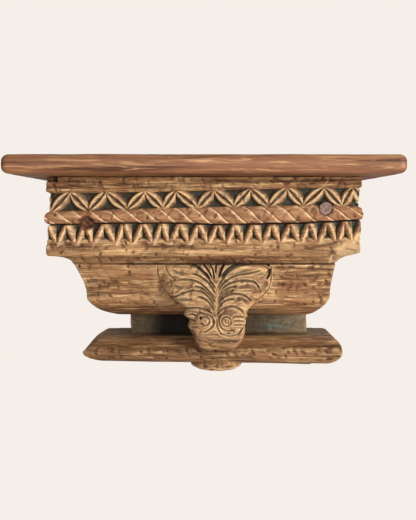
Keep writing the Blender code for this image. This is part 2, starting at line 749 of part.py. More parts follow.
def on_leaf(x, z):
    """A point on the bracket's front, and the way out of the wood there."""
    step = 0.001
    here = Vector((LEAF_X + x, -leaf_depth(LEAF_X + x, z), z))
    slope_x = (leaf_depth(LEAF_X + x + step, z) - leaf_depth(LEAF_X + x - step, z)) / (2 * step)
    slope_z = (leaf_depth(LEAF_X + x, z + step) - leaf_depth(LEAF_X + x, z - step)) / (2 * step)
    slope_x = max(-1, min(1, slope_x))
    slope_z = max(-1, min(1, slope_z))
    return here, Vector((-slope_x, -1, -slope_z)).normalized()


def add_leaf_groove(bm, start, control, end, half_width, depth, steps=7):
    """A groove along a bent line on the bracket, given from the stem outwards."""
    points, outs = [], []
    for i in range(steps + 1):
        t = i / steps
        x = (1 - t) ** 2 * start[0] + 2 * t * (1 - t) * control[0] + t * t * end[0]
        z = (1 - t) ** 2 * start[1] + 2 * t * (1 - t) * control[1] + t * t * end[1]
        point, out = on_leaf(x, z)
        points.append(point)
        outs.append(out)
    add_groove(bm, points, outs, half_width, depth)


def add_leaf_cuts(bm):
    """The grooves that part the leaf's lobes, the hollow down each lobe, and the volutes' spirals."""
    height = BOWL_TOP - VOLUTE_HEIGHT
    reach = LEAF_TOP_HALF_WIDTH
    top = BOWL_TOP
    for side in (-1, 1):
        for root, bend, tip, out in LOBE_GROOVES:
            add_leaf_groove(
                bm,
                (side * STEM_HALF_WIDTH, top - root * height),
                (side * GROOVE_BEND_SHARE * out * reach, top - bend * height),
                (side * out * reach, top - tip * height),
                LEAF_GROOVE_HALF_WIDTH,
                LEAF_GROOVE_DEPTH,
            )
        for root, bend, tip, out in LOBE_HOLLOWS:
            add_leaf_groove(
                bm,
                (side * HOLLOW_ROOT_SHARE * reach, top - root * height),
                (side * HOLLOW_BEND_SHARE * out * reach, top - bend * height),
                (side * out * reach, top - tip * height),
                HOLLOW_HALF_WIDTH,
                HOLLOW_DEPTH,
            )
    for lean in SPROUT_LEANS:
        add_leaf_groove(
            bm,
            (lean * 0.2 * reach, top - SPROUT_DROPS[0] * height),
            (lean * 0.6 * reach, top - SPROUT_DROPS[1] * height),
            (lean * reach, top - SPROUT_DROPS[2] * height),
            SPROUT_HALF_WIDTH,
            SPROUT_DEPTH,
            steps=4,
        )
    for side, radius in ((-1, VOLUTE_RADIUS_LEFT), (1, VOLUTE_RADIUS_RIGHT)):
        front = leaf_depth(LEAF_X + side * VOLUTE_SPACING, VOLUTE_HEIGHT) + VOLUTE_PROUD
        centre_x = LEAF_X + side * (VOLUTE_SPACING + (VOLUTE_STRETCH - 1) * radius)
        points = []
        for i in range(SPIRAL_STEPS + 1):
            share = i / SPIRAL_STEPS
            turn = math.pi / 2 - share * VOLUTE_TURNS * 2 * math.pi
            size = radius * (SPIRAL_START_SHARE + (SPIRAL_END_SHARE - SPIRAL_START_SHARE) * share)
            x = centre_x + side * size * math.cos(turn)
            points.append(Vector((x, SPIRAL_SETBACK - front, VOLUTE_HEIGHT + size * math.sin(turn))))
        outs = [Vector((0, -1, 0))] * len(points)
        add_groove(bm, points, outs, SPIRAL_GROOVE_HALF_WIDTH, SPIRAL_GROOVE_DEPTH)


def add_round_cuts(bm):
    """The peg's hole and the hollow where the knot has broken out."""
    along_wall = Matrix.Rotation(math.pi / 2, 4, "X")
    hole_front = FRIEZE_DEPTH + ROPE_BULGE + CUTTER_STANDOFF
    hole_length = hole_front - PEG_FRONT + PEG_LENGTH + PEG_CLEARANCE
    middle = settled(Vector((PEG_X, hole_length / 2 - hole_front, PEG_Z)))
    bmesh.ops.create_cone(
        bm,
        cap_ends=True,
        segments=PEG_SIDES,
        radius1=PEG_RADIUS + PEG_CLEARANCE,
        radius2=PEG_RADIUS + PEG_CLEARANCE,
        depth=hole_length,
        matrix=Matrix.Translation(middle) @ along_wall,
    )
    knot = bmesh.ops.create_icosphere(bm, subdivisions=2, radius=1)["verts"]
    size = (KNOT_HALF_WIDTH, 2 * KNOT_DEPTH, KNOT_HALF_HEIGHT)
    bmesh.ops.scale(bm, vec=size, verts=knot)
    front = FRIEZE_DEPTH + ROPE_BULGE - LEAF_BAND_STEP
    bmesh.ops.translate(bm, vec=(KNOT_X, KNOT_DEPTH - front, KNOT_Z), verts=knot)


def build_corbel():
    """Shape the timber, add the bracket, volutes and boss, and carve it."""
    corbel = build_timber()
    bracket = build_leaf_bracket()
    left_volute = build_volute("left_volute", -1, VOLUTE_RADIUS_LEFT)
    right_volute = build_volute("right_volute", 1, VOLUTE_RADIUS_RIGHT)
    for tool in (bracket, left_volute, right_volute, build_boss()):
        apply_tool(corbel, tool, "UNION")
    carving = bmesh.new()
    add_frieze_cuts(carving)
    add_leaf_cuts(carving)
    add_round_cuts(carving)
    apply_tool(corbel, add_tool("carving", carving), "DIFFERENCE")
    corbel.data.materials.append(wood("corbel_wood", (0.36, 0.21, 0.115), 0.68))
    return corbel


def build_peg():
    """The round wooden peg whose end grain shows in the frieze."""
    bm = bmesh.new()
    bmesh.ops.create_cone(
        bm,
        cap_ends=True,
        segments=PEG_SIDES,
        radius1=PEG_RADIUS,
        radius2=PEG_RADIUS,
        depth=PEG_LENGTH,
        matrix=Matrix.Rotation(math.pi / 2, 4, "X"),
    )
    mesh = bpy.data.meshes.new("frieze_peg")
    bm.to_mesh(mesh)
    bm.free()
    mesh.shade_smooth()
    mesh.set_sharp_from_angle(angle=math.radians(40))
    place = settled(Vector((PEG_X, PEG_LENGTH / 2 - PEG_FRONT, PEG_Z)))
    return add_object("frieze_peg", mesh, wood("peg_wood", (0.27, 0.13, 0.085), 0.62), place)


for old in list(bpy.data.objects):
    bpy.data.objects.remove(old)

build_board()
build_corbel()
build_peg()
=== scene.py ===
import math

import bmesh
import bpy
import numpy as np
from mathutils import Matrix, Vector


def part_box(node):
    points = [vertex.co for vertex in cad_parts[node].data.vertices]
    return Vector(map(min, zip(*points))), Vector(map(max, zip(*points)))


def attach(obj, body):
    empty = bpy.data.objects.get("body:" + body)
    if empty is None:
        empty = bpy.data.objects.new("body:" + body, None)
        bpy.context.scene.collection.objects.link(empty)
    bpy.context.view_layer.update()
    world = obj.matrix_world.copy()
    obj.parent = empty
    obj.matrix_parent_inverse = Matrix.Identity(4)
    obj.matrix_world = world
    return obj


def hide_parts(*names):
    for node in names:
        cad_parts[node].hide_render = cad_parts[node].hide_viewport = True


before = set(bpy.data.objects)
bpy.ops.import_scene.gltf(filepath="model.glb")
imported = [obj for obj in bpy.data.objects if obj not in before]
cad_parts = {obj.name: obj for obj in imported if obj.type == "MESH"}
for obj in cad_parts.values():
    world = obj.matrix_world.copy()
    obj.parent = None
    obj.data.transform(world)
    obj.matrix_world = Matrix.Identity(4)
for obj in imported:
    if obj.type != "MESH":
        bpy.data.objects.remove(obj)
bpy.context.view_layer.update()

# Studio
# The shelf hangs in front of plain pale paper that runs seamlessly from wall to floor. A soft
# light stands in front to the right and a little above it, a weaker one fills in from the front,
# and a third stands behind.
PHOTO_WIDTH = 416
PHOTO_HEIGHT = 520
FOCAL_PIXELS = 560.4
AXIS_PIXEL = (204.0, 209.0)
CAMERA_DISTANCE = 0.975
EYE_HEIGHT = 0.0172
PAPER = (0.921, 0.863, 0.815)
FLOOR_HEIGHT = -1.4
FLOOR_HALF = 30


def add_object(name, data):
    """A new object in the scene."""
    made = bpy.data.objects.new(name, data)
    bpy.context.scene.collection.objects.link(made)
    return made


camera_data = bpy.data.cameras.new("camera")
camera = add_object("camera", camera_data)
camera.location = (0, -CAMERA_DISTANCE, EYE_HEIGHT)
camera.rotation_euler = (math.pi / 2, 0, 0)
camera_data.sensor_fit = "AUTO"
camera_data.sensor_width = 36
camera_data.lens = FOCAL_PIXELS / PHOTO_HEIGHT * camera_data.sensor_width
camera_data.shift_x = (PHOTO_WIDTH / 2 - AXIS_PIXEL[0]) / PHOTO_HEIGHT
camera_data.shift_y = (AXIS_PIXEL[1] - PHOTO_HEIGHT / 2) / PHOTO_HEIGHT
camera_data.clip_start = 0.01
camera_data.clip_end = 200
bpy.context.scene.camera = camera
bpy.context.scene.view_settings.view_transform = "Standard"


def add_node(tree, kind, **values):
    """One shader node. Names that the node has are its properties, and all others its sockets."""
    made = tree.nodes.new(kind)
    for name, value in values.items():
        if hasattr(made, name):
            setattr(made, name, value)
        else:
            made.inputs[name.replace("_", " ")].default_value = value
    return made


def show_to_camera(tree, seen, cast, out):
    """Show one shader to the camera and give another to all other rays."""
    rays = add_node(tree, "ShaderNodeLightPath")
    choice = add_node(tree, "ShaderNodeMixShader")
    tree.links.new(rays.outputs["Is Camera Ray"], choice.inputs["Fac"])
    tree.links.new(cast.outputs[0], choice.inputs[1])
    tree.links.new(seen.outputs[0], choice.inputs[2])
    tree.links.new(choice.outputs[0], out.inputs["Surface"])


world = bpy.data.worlds.new("pale_room")
bpy.context.scene.world = world
world.use_nodes = True
world.node_tree.nodes.clear()
seen = add_node(world.node_tree, "ShaderNodeBackground", Color=(*PAPER, 1), Strength=1.0)
ambient = add_node(world.node_tree, "ShaderNodeBackground", Color=(1.0, 0.97, 0.93, 1), Strength=0.22)
world_out = add_node(world.node_tree, "ShaderNodeOutputWorld")
show_to_camera(world.node_tree, seen, ambient, world_out)

paper_mesh = bpy.data.meshes.new("paper_floor")
bm = bmesh.new()
on_floor = Matrix.Translation((0, 0, FLOOR_HEIGHT))
bmesh.ops.create_grid(bm, x_segments=1, y_segments=1, size=FLOOR_HALF, matrix=on_floor)
bm.to_mesh(paper_mesh)
bm.free()
paper_floor = add_object("paper_floor", paper_mesh)
paper = bpy.data.materials.new("pale_paper")
paper.use_nodes = True
paper.node_tree.nodes.clear()
glow = add_node(paper.node_tree, "ShaderNodeEmission", Color=(*PAPER, 1), Strength=1.0)
matt = add_node(paper.node_tree, "ShaderNodeBsdfDiffuse", Color=(*PAPER, 1))
paper_out = add_node(paper.node_tree, "ShaderNodeOutputMaterial")
show_to_camera(paper.node_tree, glow, matt, paper_out)
paper_mesh.materials.append(paper)


def add_soft_light(name, place, aim, size, watts, colour):
    """A square soft box that faces a point."""
    data = bpy.data.lights.new(name, "AREA")
    data.shape = "SQUARE"
    data.size = size
    data.energy = watts
    data.color = colour
    lamp = add_object(name, data)
    lamp.location = place
    lamp.rotation_euler = (Vector(aim) - Vector(place)).to_track_quat("-Z", "Y").to_euler()


add_soft_light("key_light", (2.45, -2.25, 0.30), (0.02, -0.08, -0.05), 0.80, 96, (1.0, 0.955, 0.90))
add_soft_light("fill_light", (-0.3, -2.2, 0.45), (0, -0.08, -0.05), 1.2, 12, (1.0, 0.98, 0.96))
add_soft_light("back_light", (0.4, 1.9, 1.2), (0, 0, 0), 1.4, 10, (1.0, 0.98, 0.95))

# Carved timber
# One block of old hardwood from a house's carved capital, sawn flat behind. Its mouldings return
# on both ends, and bands of leaves, rope and zigzag are cut into its frieze with chisel and gouge.
# The bowl, neck and slab below are plain, and a scrolled leaf bracket joins bowl and slab in front.
FRIEZE_END = 0.239
FRIEZE_DEPTH = 0.130
FRIEZE_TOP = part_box("carved_corbel")[1].z
LEAF_BAND_TOP = FRIEZE_TOP - 0.020
ROPE_TOP = LEAF_BAND_TOP - 0.027
ZIGZAG_TOP = ROPE_TOP - 0.024
FASCIA_TOP = ZIGZAG_TOP - 0.031
COVE_TOP = FASCIA_TOP - 0.018
BOWL_TOP = COVE_TOP - 0.014
NECK_TOP = BOWL_TOP - 0.0869
SLAB_TOP = NECK_TOP - 0.0346
SLAB_NOSE = SLAB_TOP - 0.016
SLAB_BASE = SLAB_TOP - 0.038
BOSS_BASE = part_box("carved_corbel")[0].z
ROPE_MIDDLE = (ROPE_TOP + ZIGZAG_TOP) / 2
ROPE_HALF = (ROPE_TOP - ZIGZAG_TOP) / 2
ROPE_PITCH = 0.0262
ZIGZAG_FLAT = 0.0013
NECK_SIZE = (0.122, 0.171, 0.040)
SLAB_LEFT = 0.189
SLAB_RIGHT = 0.2155
SLAB_DEPTH = 0.105
BOSS_X = 0.0195
BOSS_Y = -0.061
BOSS_RADIUS = 0.0425
LEAF_X = 0.018
LEAF_REACH = 0.096
VOXEL = 0.0013
TIMBER_TRIANGLES = 190000

# How far the beam's lines have moved in drying, in millimetres upwards: one row for each level,
# with its shifts at these places along the front
SETTLED_AT = (-0.239, -0.120, -0.030, 0.010, 0.110, 0.155, 0.239)
SETTLED = (
    (SLAB_BASE, (4.0, 1.4, 0, 0, -1.8, -3.0, -4.5)),
    (SLAB_NOSE, (0, 0, 0, 0, 0, 0, 0)),
    (COVE_TOP, (0, 0, 0, 0, 0, 0, 0)),
    (FASCIA_TOP, (-2.2, -1.8, -1.0, -0.6, -0.6, -0.3, 0.4)),
    (ZIGZAG_TOP, (-1.6, 1.3, 0.5, -1.2, -0.4, 1.3, 5.3)),
    (ROPE_TOP, (-6.8, -3.0, -0.5, 0.2, 2.0, 3.8, 1.4)),
    (LEAF_BAND_TOP, (-3.8, -2.6, -0.8, 0.6, 3.0, 4.2, 4.4)),
    (FRIEZE_TOP, (0, 0, 0, 0, 0, 0, 0)),
)

# Where the corners of the bands fall along the front, in millimetres. Feet and tops
# alternate: the leaf band starts with a foot and the zigzag with a top.
LEAF_CORNERS = (
    -233.3, -203.6, -175.7, -148.8, -116.7, -89.5, -62.4, -43.0, -10.0,
    15.0, 45.5, 70.5, 98.0, 125.7, 151.0, 182.0, 208.8, 226.2,
)
ZIGZAG_CORNERS = (
    -238.0, -224.4, -209.5, -194.7, -181.7, -168.6, -152.2, -135.8, -122.7,
    -109.6, -94.0, -78.3, -65.7, -53.1, -38.4, -23.6, -9.3, 5.1,
    18.8, 32.4, 46.0, 59.6, 73.7, 87.8, 101.5, 115.2, 130.0,
    144.7, 158.2, 171.6, 185.6, 199.6, 212.5, 225.3, 238.0,
)


def settled(x, z):
    """How far the beam's lines have moved upwards at each place."""
    heights = np.array([height for height, _ in SETTLED])
    shifts = np.array([np.interp(x, SETTLED_AT, row) for _, row in SETTLED]) / 1000
    above = np.clip(np.searchsorted(heights, z), 1, len(heights) - 1)
    share = np.clip((z - heights[above - 1]) / (heights[above] - heights[above - 1]), 0, 1)
    place = np.arange(len(x))
    return shifts[above - 1, place] * (1 - share) + shifts[above, place] * share


def turned_in(share, power):
    """How far a rounded edge has turned in, from 0 at its start to 1 at its end."""
    return 1 - (1 - share**power) ** (1 / power)


def timber_profile():
    """Height, left reach, right reach and depth of the whole silhouette, from the top down."""
    end, deep = FRIEZE_END, FRIEZE_DEPTH
    levels = [(FRIEZE_TOP, end - 0.001, end - 0.001, deep - 0.001)]
    levels.append((LEAF_BAND_TOP + 0.001, end, end, deep))
    levels.append((LEAF_BAND_TOP, end - 0.004, end - 0.0015, deep - 0.004))
    for i in range(13):
        turn = math.pi * i / 12
        swell = math.sin(turn)
        z = ROPE_MIDDLE + ROPE_HALF * math.cos(turn)
        left, right = end - 0.004 + 0.006 * swell, end - 0.0015 + 0.0036 * swell
        levels.append((z, left, right, deep - 0.004 + 0.006 * swell))
    levels.append((ZIGZAG_TOP - 0.0006, end - 0.0025, end - 0.0010, deep - 0.0025))
    levels.append((FASCIA_TOP, end - 0.0015, end - 0.0010, deep - 0.0015))
    levels.append((FASCIA_TOP - 0.001, end, end, deep))
    levels.append((COVE_TOP + 0.0045, end, end, deep))
    for i in range(9):
        share = i / 8
        swept = math.sin(share * math.pi / 2)
        z = COVE_TOP - 0.012 * (1 - math.cos(share * math.pi / 2))
        left, right = end - 0.003 - 0.0355 * swept, end - 0.015 - 0.021 * share
        levels.append((z, left, right, deep - 0.001 - 0.008 * swept))
    left, right = end - 0.0405, end - 0.038
    for i in range(12):
        share = i / 12
        fall = math.sin(share * math.pi / 2)
        z = BOWL_TOP + 0.001 - 0.053 * share
        levels.append((z, left - 0.017 * fall, right - 0.006 * fall, deep - 0.009 - 0.013 * fall))
    for i in range(13):
        share = math.sin(i / 12 * math.pi / 2)
        under = turned_in(share, 1.6)
        z = BOWL_TOP - 0.052 - 0.0349 * share
        right_reach = right - 0.006 - 0.029 * turned_in(share, 1.2)
        levels.append((z, left - 0.017 - 0.058 * under, right_reach, deep - 0.022 - 0.050 * under))
    levels.append((NECK_TOP - 0.0008, *NECK_SIZE))
    levels.append((SLAB_TOP + 0.0008, *NECK_SIZE))
    for i in range(9):
        share = math.cos(i / 8 * math.pi / 2)
        z = SLAB_TOP - 0.016 * (1 - share)
        left_reach = SLAB_LEFT - 0.024 * turned_in(share, 1.15)
        right_reach = SLAB_RIGHT - 0.014 * turned_in(share, 3)
        levels.append((z, left_reach, right_reach, SLAB_DEPTH - 0.045 * turned_in(share, 2)))
    for i in range(1, 9):
        share = math.sin(i / 8 * math.pi / 2)
        under = turned_in(share, 2)
        z = SLAB_NOSE - 0.022 * share
        left_reach, right_reach = SLAB_LEFT - 0.060 * under, SLAB_RIGHT - 0.045 * under
        levels.append((z, left_reach, right_reach, SLAB_DEPTH - 0.031 * under))
    return levels


def extrude_stack(bm, levels):
    """Extrude one rectangle down through the levels, each with its own reach and depth."""
    verts = bmesh.ops.create_grid(bm, x_segments=1, y_segments=1, size=0.5)["verts"]
    face = verts[0].link_faces[0]
    for i, (z, left, right, depth) in enumerate(levels):
        if i:
            grown = bmesh.ops.extrude_face_region(bm, geom=[face])["geom"]
            face = next(g for g in grown if isinstance(g, bmesh.types.BMFace))
        ordered = sorted(face.verts, key=lambda v: v.co.x)
        for pair, x in ((ordered[:2], -left), (ordered[2:], right)):
            back, front = sorted(pair, key=lambda v: -v.co.y)
            back.co = (x, 0, z)
            front.co = (x, -depth, z)


def bracket_level(share):
    """Height, left and right half widths and depth of the leaf bracket, from its top to its foot."""
    top, foot = BOWL_TOP + 0.0005, SLAB_NOSE - 0.006
    waist = np.clip((share - 0.18) / 0.38, 0, 1)
    waist = waist * waist * (3 - 2 * waist)
    chin = np.sqrt(1 - np.clip((share - 0.72) / 0.27, 0, 0.92) ** 2)
    left = 0.090 - 0.049 * waist - 0.013 * np.clip((share - 0.68) / 0.22, 0, 1)
    right = (0.090 - 0.0445 * waist) * chin
    swell = np.sin(np.minimum(1, share / 0.60) * math.pi / 2) ** 3
    depth = 0.124 + 0.029 * swell - 0.052 * np.clip((share - 0.68) / 0.32, 0, 1) ** 1.1
    return top + (foot - top) * share, left, right, depth


def add_rings(bm, rings):
    """A closed body through rings of edges, bridged one to the next and capped at both ends."""
    for upper, lower in zip(rings, rings[1:]):
        bmesh.ops.bridge_loops(bm, edges=upper + lower)
    for ring in (rings[0], rings[-1]):
        bmesh.ops.contextual_create(bm, geom=ring)


def new_ring(bm, segments, place):
    """A ring of edges whose corners lie where the given function puts each turn."""
    verts = bmesh.ops.create_circle(bm, cap_ends=False, segments=segments, radius=1)["verts"]
    for vert in verts:
        vert.co = place(math.atan2(vert.co.y, vert.co.x))
    return list({edge for vert in verts for edge in vert.link_edges})


def bracket_ring(share):
    """Where the bracket's outline lies at one level."""
    z, left, right, depth = bracket_level(share)

    def place(turn):
        across = math.copysign(abs(math.cos(turn)) ** (2 / 7), math.cos(turn))
        out = math.sin(turn)
        out = -abs(out) ** (2 / 7) if out < 0 else 0.1 * out
        half = left if across < 0 else right
        return (LEAF_X + half * across, -0.020 + (depth - 0.020) * out, z)

    return place


def boss_ring(drop, size):
    """Where the boss's rim lies at one level: a circle notched between its petals."""

    def place(turn):
        petal = abs(math.sin(6 * turn + 0.25 * math.sin(3 * turn)))
        radius = BOSS_RADIUS * size - 0.0022 * (1 - petal) ** 1.5
        z = SLAB_BASE - (SLAB_BASE - BOSS_BASE - 0.001) * drop
        return (BOSS_X + radius * math.cos(turn), BOSS_Y + radius * math.sin(turn), z)

    return place


def add_lump(bm, centre, radii, turn=0.0):
    """A rounded lump of wood, turned about the way it faces."""
    lump = bmesh.ops.create_icosphere(bm, subdivisions=3, radius=1)["verts"]
    shape = Matrix.Translation(centre) @ Matrix.Rotation(turn, 4, "Y") @ Matrix.Diagonal((*radii, 1))
    bmesh.ops.transform(bm, matrix=shape, verts=lump)


def lattice_noise(points, size, seed):
    """Smooth noise between -1 and 1 whose bumps are about as wide as the given size."""
    table = np.random.default_rng(seed).uniform(-1, 1, 4096)
    scaled = points / np.array(size)
    bent = 0.45 * np.sin(np.roll(scaled, 1, axis=1) * 1.3 + seed)
    scaled = scaled + bent + 0.3 * np.sin(np.roll(scaled, 2, axis=1))
    cell = np.floor(scaled).astype(np.int64)
    inside = scaled - cell
    inside = inside * inside * (3 - 2 * inside)
    total = np.zeros(len(points))
    for corner in range(8):
        offset = np.array([(corner >> axis) & 1 for axis in range(3)])
        index = (cell + offset) @ np.array([1, 57, 1931])
        weight = np.prod(np.where(offset, inside, 1 - inside), axis=1)
        total += weight * table[index % 4096]
    return total


def beside_diagonal(u, v, corners, height, foot_first):
    """Where a place lies beside the diagonal between a foot corner and a top corner.

    Gives the share of the way from foot to top, the places along and off the diagonal, and
    whether the wood falls away gently there, as it does on the left of every sunk triangle.
    """
    corners = np.array(corners) / 1000
    pitch = np.diff(corners).mean()
    cell = np.interp(u, corners, np.arange(len(corners)))
    cell += np.minimum(0, (u - corners[0]) / pitch) + np.maximum(0, (u - corners[-1]) / pitch)
    index = np.floor(cell).astype(int)
    rising = (index % 2 == 0) == foot_first
    share = np.where(rising, cell - index, 1 - cell + index)
    width = np.diff(corners)[np.clip(index, 0, len(corners) - 2)]
    length = np.hypot(width, height)
    along = (share * width**2 + v * height) / length**2
    off = (v - share * height) * width / length
    return share, along, off, rising == (off < 0)


def leaf_band(u, v):
    """Depth and worn edges of the band of pointed leaves. v is the height above the band's foot."""
    height = LEAF_BAND_TOP - ROPE_TOP
    _, along, off, gentle = beside_diagonal(u, v, LEAF_CORNERS, height, True)
    half = 0.0069 * np.sin(math.pi * np.clip(along, 0, 1)) ** 0.72
    ratio = np.abs(off) / np.maximum(half, 1e-5)
    full = np.clip(half / 0.0040, 0, 1)
    slit = 0.0046 * np.clip(1 - ratio / 0.44, 0, 1) ** 0.8 * full
    leaf = 0.0002 + slit + 0.0008 * np.clip((ratio - 0.70) / 0.30, 0, 1) ** 1.5
    outside = np.abs(off) - half
    rim = np.where(off > 0, height - v, v)
    sunk = np.minimum(0.0010 + np.where(gentle, 0.9, 2.4) * outside, 0.0003 + 2.4 * rim)
    wear_and_highlight = np.exp(-(((ratio - 0.68) / 0.24) ** 2)) * full
    return np.where(outside > 0, np.clip(sunk, 0, 0.0068), leaf), wear_and_highlight


def zigzag_band(u, v):
    """Depth, painted highlight on the gentle walls that face the light, and flat faces of the zigzag. v is
    the height above the band's foot.
    """
    share, _, off, gentle = beside_diagonal(u, v, ZIGZAG_CORNERS, ZIGZAG_TOP - FASCIA_TOP, False)
    outside = np.abs(off) - ZIGZAG_FLAT
    above_scallop = v - 0.0077 * np.sin(math.pi / 2 * np.clip(share, 0, 1)) ** 0.8
    sunk = np.minimum(np.where(gentle, 0.66, 2.2) * outside, np.where(off < 0, 2.4 * above_scallop, 1))
    cut = np.clip(sunk, 0, 0.0074)
    # Painted highlight: the gently sloped walls, which face the light, get the pale worn-edge colour
    lit = gentle * np.clip(outside / 0.0005, 0, 1) * np.clip((0.0046 - outside) / 0.0020, 0, 1)
    return cut, lit, np.clip((0.0004 - outside) / 0.0006, 0, 1)


def rope_band(u, v):
    """Depth, painted highlight on the gentle wall that faces the light, and flat faces of the rope. v is the
    height above the roll's middle.
    """
    height = np.clip(v / ROPE_HALF, -1, 1)
    lean = np.clip(1.10 + 0.7 * u, 1, 1.25)
    strand = (u - 0.0003 + lean * (0.0105 * height + 0.0038 * height**3)) / ROPE_PITCH
    off = (strand - np.round(strand)) * ROPE_PITCH
    wall = np.where(off <= 0, np.clip(1 + off / 0.0044, 0, 1), np.clip(1 - off / 0.0011, 0, 1))
    # Painted highlight on each strand's gentle wall, which faces the light
    wear_and_highlight = np.where(off <= 0, 1.2 * np.sin(math.pi * np.clip(1 + off / 0.0050, 0, 1)) ** 0.6, 0)
    return 0.0029 * wall, wear_and_highlight, 1 - wall


def smooth_line(points, steps=6):
    """A smooth line through given points, in millimetres right of the stem and up."""
    points = np.array(points, float)
    padded = np.vstack((2 * points[0] - points[1], points, 2 * points[-1] - points[-2]))
    line = []
    for a, b, c, d in zip(padded, padded[1:], padded[2:], padded[3:]):
        for t in np.arange(steps) / steps:
            square = (2 * a - 5 * b + 4 * c - d) * t**2
            cube = (3 * b - a - 3 * c + d) * t**3
            line.append((2 * b + (c - a) * t + square + cube) / 2)
    return np.vstack((line, points[-1]))


def cut_stroke(relief, x, z, points, half, depth, kind):
    """Cut one gouge stroke into the relief: a groove, a fine line, a hollow or sunk ground."""
    line = smooth_line(points)
    reach = half + 2
    near = (x > line[:, 0].min() - reach) & (x < line[:, 0].max() + reach)
    near = np.flatnonzero(near & (z > line[:, 1].min() - reach) & (z < line[:, 1].max() + reach))
    best = np.full(len(near), 1e9)
    where = np.zeros(len(near))
    for i, (a, b) in enumerate(zip(line, line[1:])):
        run = b - a
        t = np.clip(((x[near] - a[0]) * run[0] + (z[near] - a[1]) * run[1]) / (run @ run), 0, 1)
        far = np.hypot(x[near] - a[0] - t * run[0], z[near] - a[1] - t * run[1])
        where = np.where(far < best, (i + t) / (len(line) - 1), where)
        best = np.minimum(best, far)
    swell = np.clip(np.minimum(where, 1 - where) / (0.4 if kind == "hollow" else 0.12), 0, 1)
    swell = swell * (2 - swell)
    wide = half * (0.45 + 0.55 * swell)
    inward = np.clip(1 - best / wide, 0, 1)
    shape = inward**0.8 if kind in ("groove", "line") else inward * inward * (3 - 2 * inward)
    shape = np.clip(inward * 2.2, 0, 1) if kind == "ground" else shape
    worn_edge = 0.2 if kind == "line" else 1.0
    ridge = worn_edge * swell * np.exp(-(((best - wide - 0.5) / 0.6) ** 2))
    relief["cut"][near] = np.maximum(relief["cut"][near], depth * swell * shape)
    relief["ridge"][near] = np.maximum(relief["ridge"][near], ridge)
    if kind == "ground":
        relief["ground"][near] = np.maximum(relief["ground"][near], swell * shape)


# The leaf's strokes, in millimetres right of the stem and above the origin: the grooves between
# its lobes and ribs, the hollows in its lobes, and the ground sunk behind its sprouts.
LEAF_GROOVES = (
    ((-0.9, -103), (-5.2, -96.5), (-13.2, -86.4), (-24, -76.4), (-36, -69.6), (-46, -67)),
    ((-1.4, -110), (-7, -101), (-16, -91), (-28, -83.5), (-40, -80.5)),
    ((-1.5, -117), (-10.6, -107), (-20, -98.2), (-32, -91.7), (-46, -89.7), (-60.6, -90.4)),
    ((-1.8, -122), (-10, -111.5), (-21, -103), (-34, -99)),
    ((-2.5, -128), (-9, -118), (-20, -108.7), (-35, -105.8), (-50, -109.5), (-61, -114.4), (-71, -117)),
    ((-2.8, -133), (-10, -123.5), (-19, -117), (-30, -114)),
    ((-5.5, -137), (-13.4, -132.8), (-24, -130), (-38.5, -130), (-53, -133)),
    ((1.5, -104), (8.4, -91.7), (19.3, -78.4), (33, -70.3), (49, -66.9)),
    ((1.8, -109), (9, -97.5), (20, -88.5), (33, -83), (47, -81), (60, -78.4), (69, -75.8)),
    ((2, -115), (12.4, -100.4), (26, -93.5), (42, -91), (56, -93), (63.6, -99.4), (65, -104.5)),
    ((1.6, -120), (9, -108.5), (20, -102), (32, -99.5)),
    ((1.5, -125), (8, -114.2), (17, -107.8), (28, -105)),
    ((1, -131), (8.5, -116.8), (21.5, -110.9), (35, -110.7), (45.5, -114.4), (53, -121.7)),
    ((0.8, -136), (7.5, -124), (18, -118.5), (29, -118)),
    ((-0.6, -141), (6.4, -132.6), (14.4, -128.9), (25, -127.7), (35.5, -131.4), (43, -139.8)),
)
LEAF_MARGINS = (
    ((-60.6, -90.4), (-64.7, -88.4), (-70.8, -83), (-75, -75.7), (-77.6, -67)),
    ((-60.6, -90.4), (-68, -93), (-78, -97)),
    ((-54, -102), (-60, -108)),
    ((-60, -97.5), (-66, -104)),
    ((49, -66.9), (67, -67.6), (80, -74.5), (75, -83.8), (65.3, -89.1)),
    ((-89.5, -67), (-88.8, -81), (-85.5, -94), (-79.5, -106), (-70.5, -117), (-61, -127), (-53, -133)),
)
PAD_EDGE = ((84.3, -67), (84.6, -84), (83.5, -98), (78, -110), (68, -120.5), (60, -127))
LEAF_HOLLOWS = (
    ((-69, -74), (-62, -79), (-52, -81), (-42, -82)),
    ((-65, -98), (-58, -101.5), (-47, -101.5)),
    ((-62, -120), (-45, -118.5), (-26, -121)),
    ((24, -84), (42, -77.5), (60, -73.5)),
    ((32, -103), (43, -99.5), (59, -101)),
    ((24, -123), (36, -117), (49, -124)),
)
SPROUT_GROUNDS = (
    (((-40, -65), (-29, -70.5), (-18, -79), (-9, -89.5)), 2.4),
    (((-21, -65), (-13, -74), (-5.6, -87)), 1.7),
    (((-9.5, -65), (-4.6, -76), (-2, -90)), 1.6),
    (((1, -64), (0.2, -72), (0, -80)), 1.7),
    (((13.5, -65), (8.8, -74), (4.2, -87)), 2.6),
    (((40, -65), (28, -69), (17, -76.5), (8, -88)), 3.4),
    (((60, -64.5), (74, -65.5), (83, -70)), 2.6),
    (((82.5, -74), (82, -83), (77.5, -90)), 2.6),
)

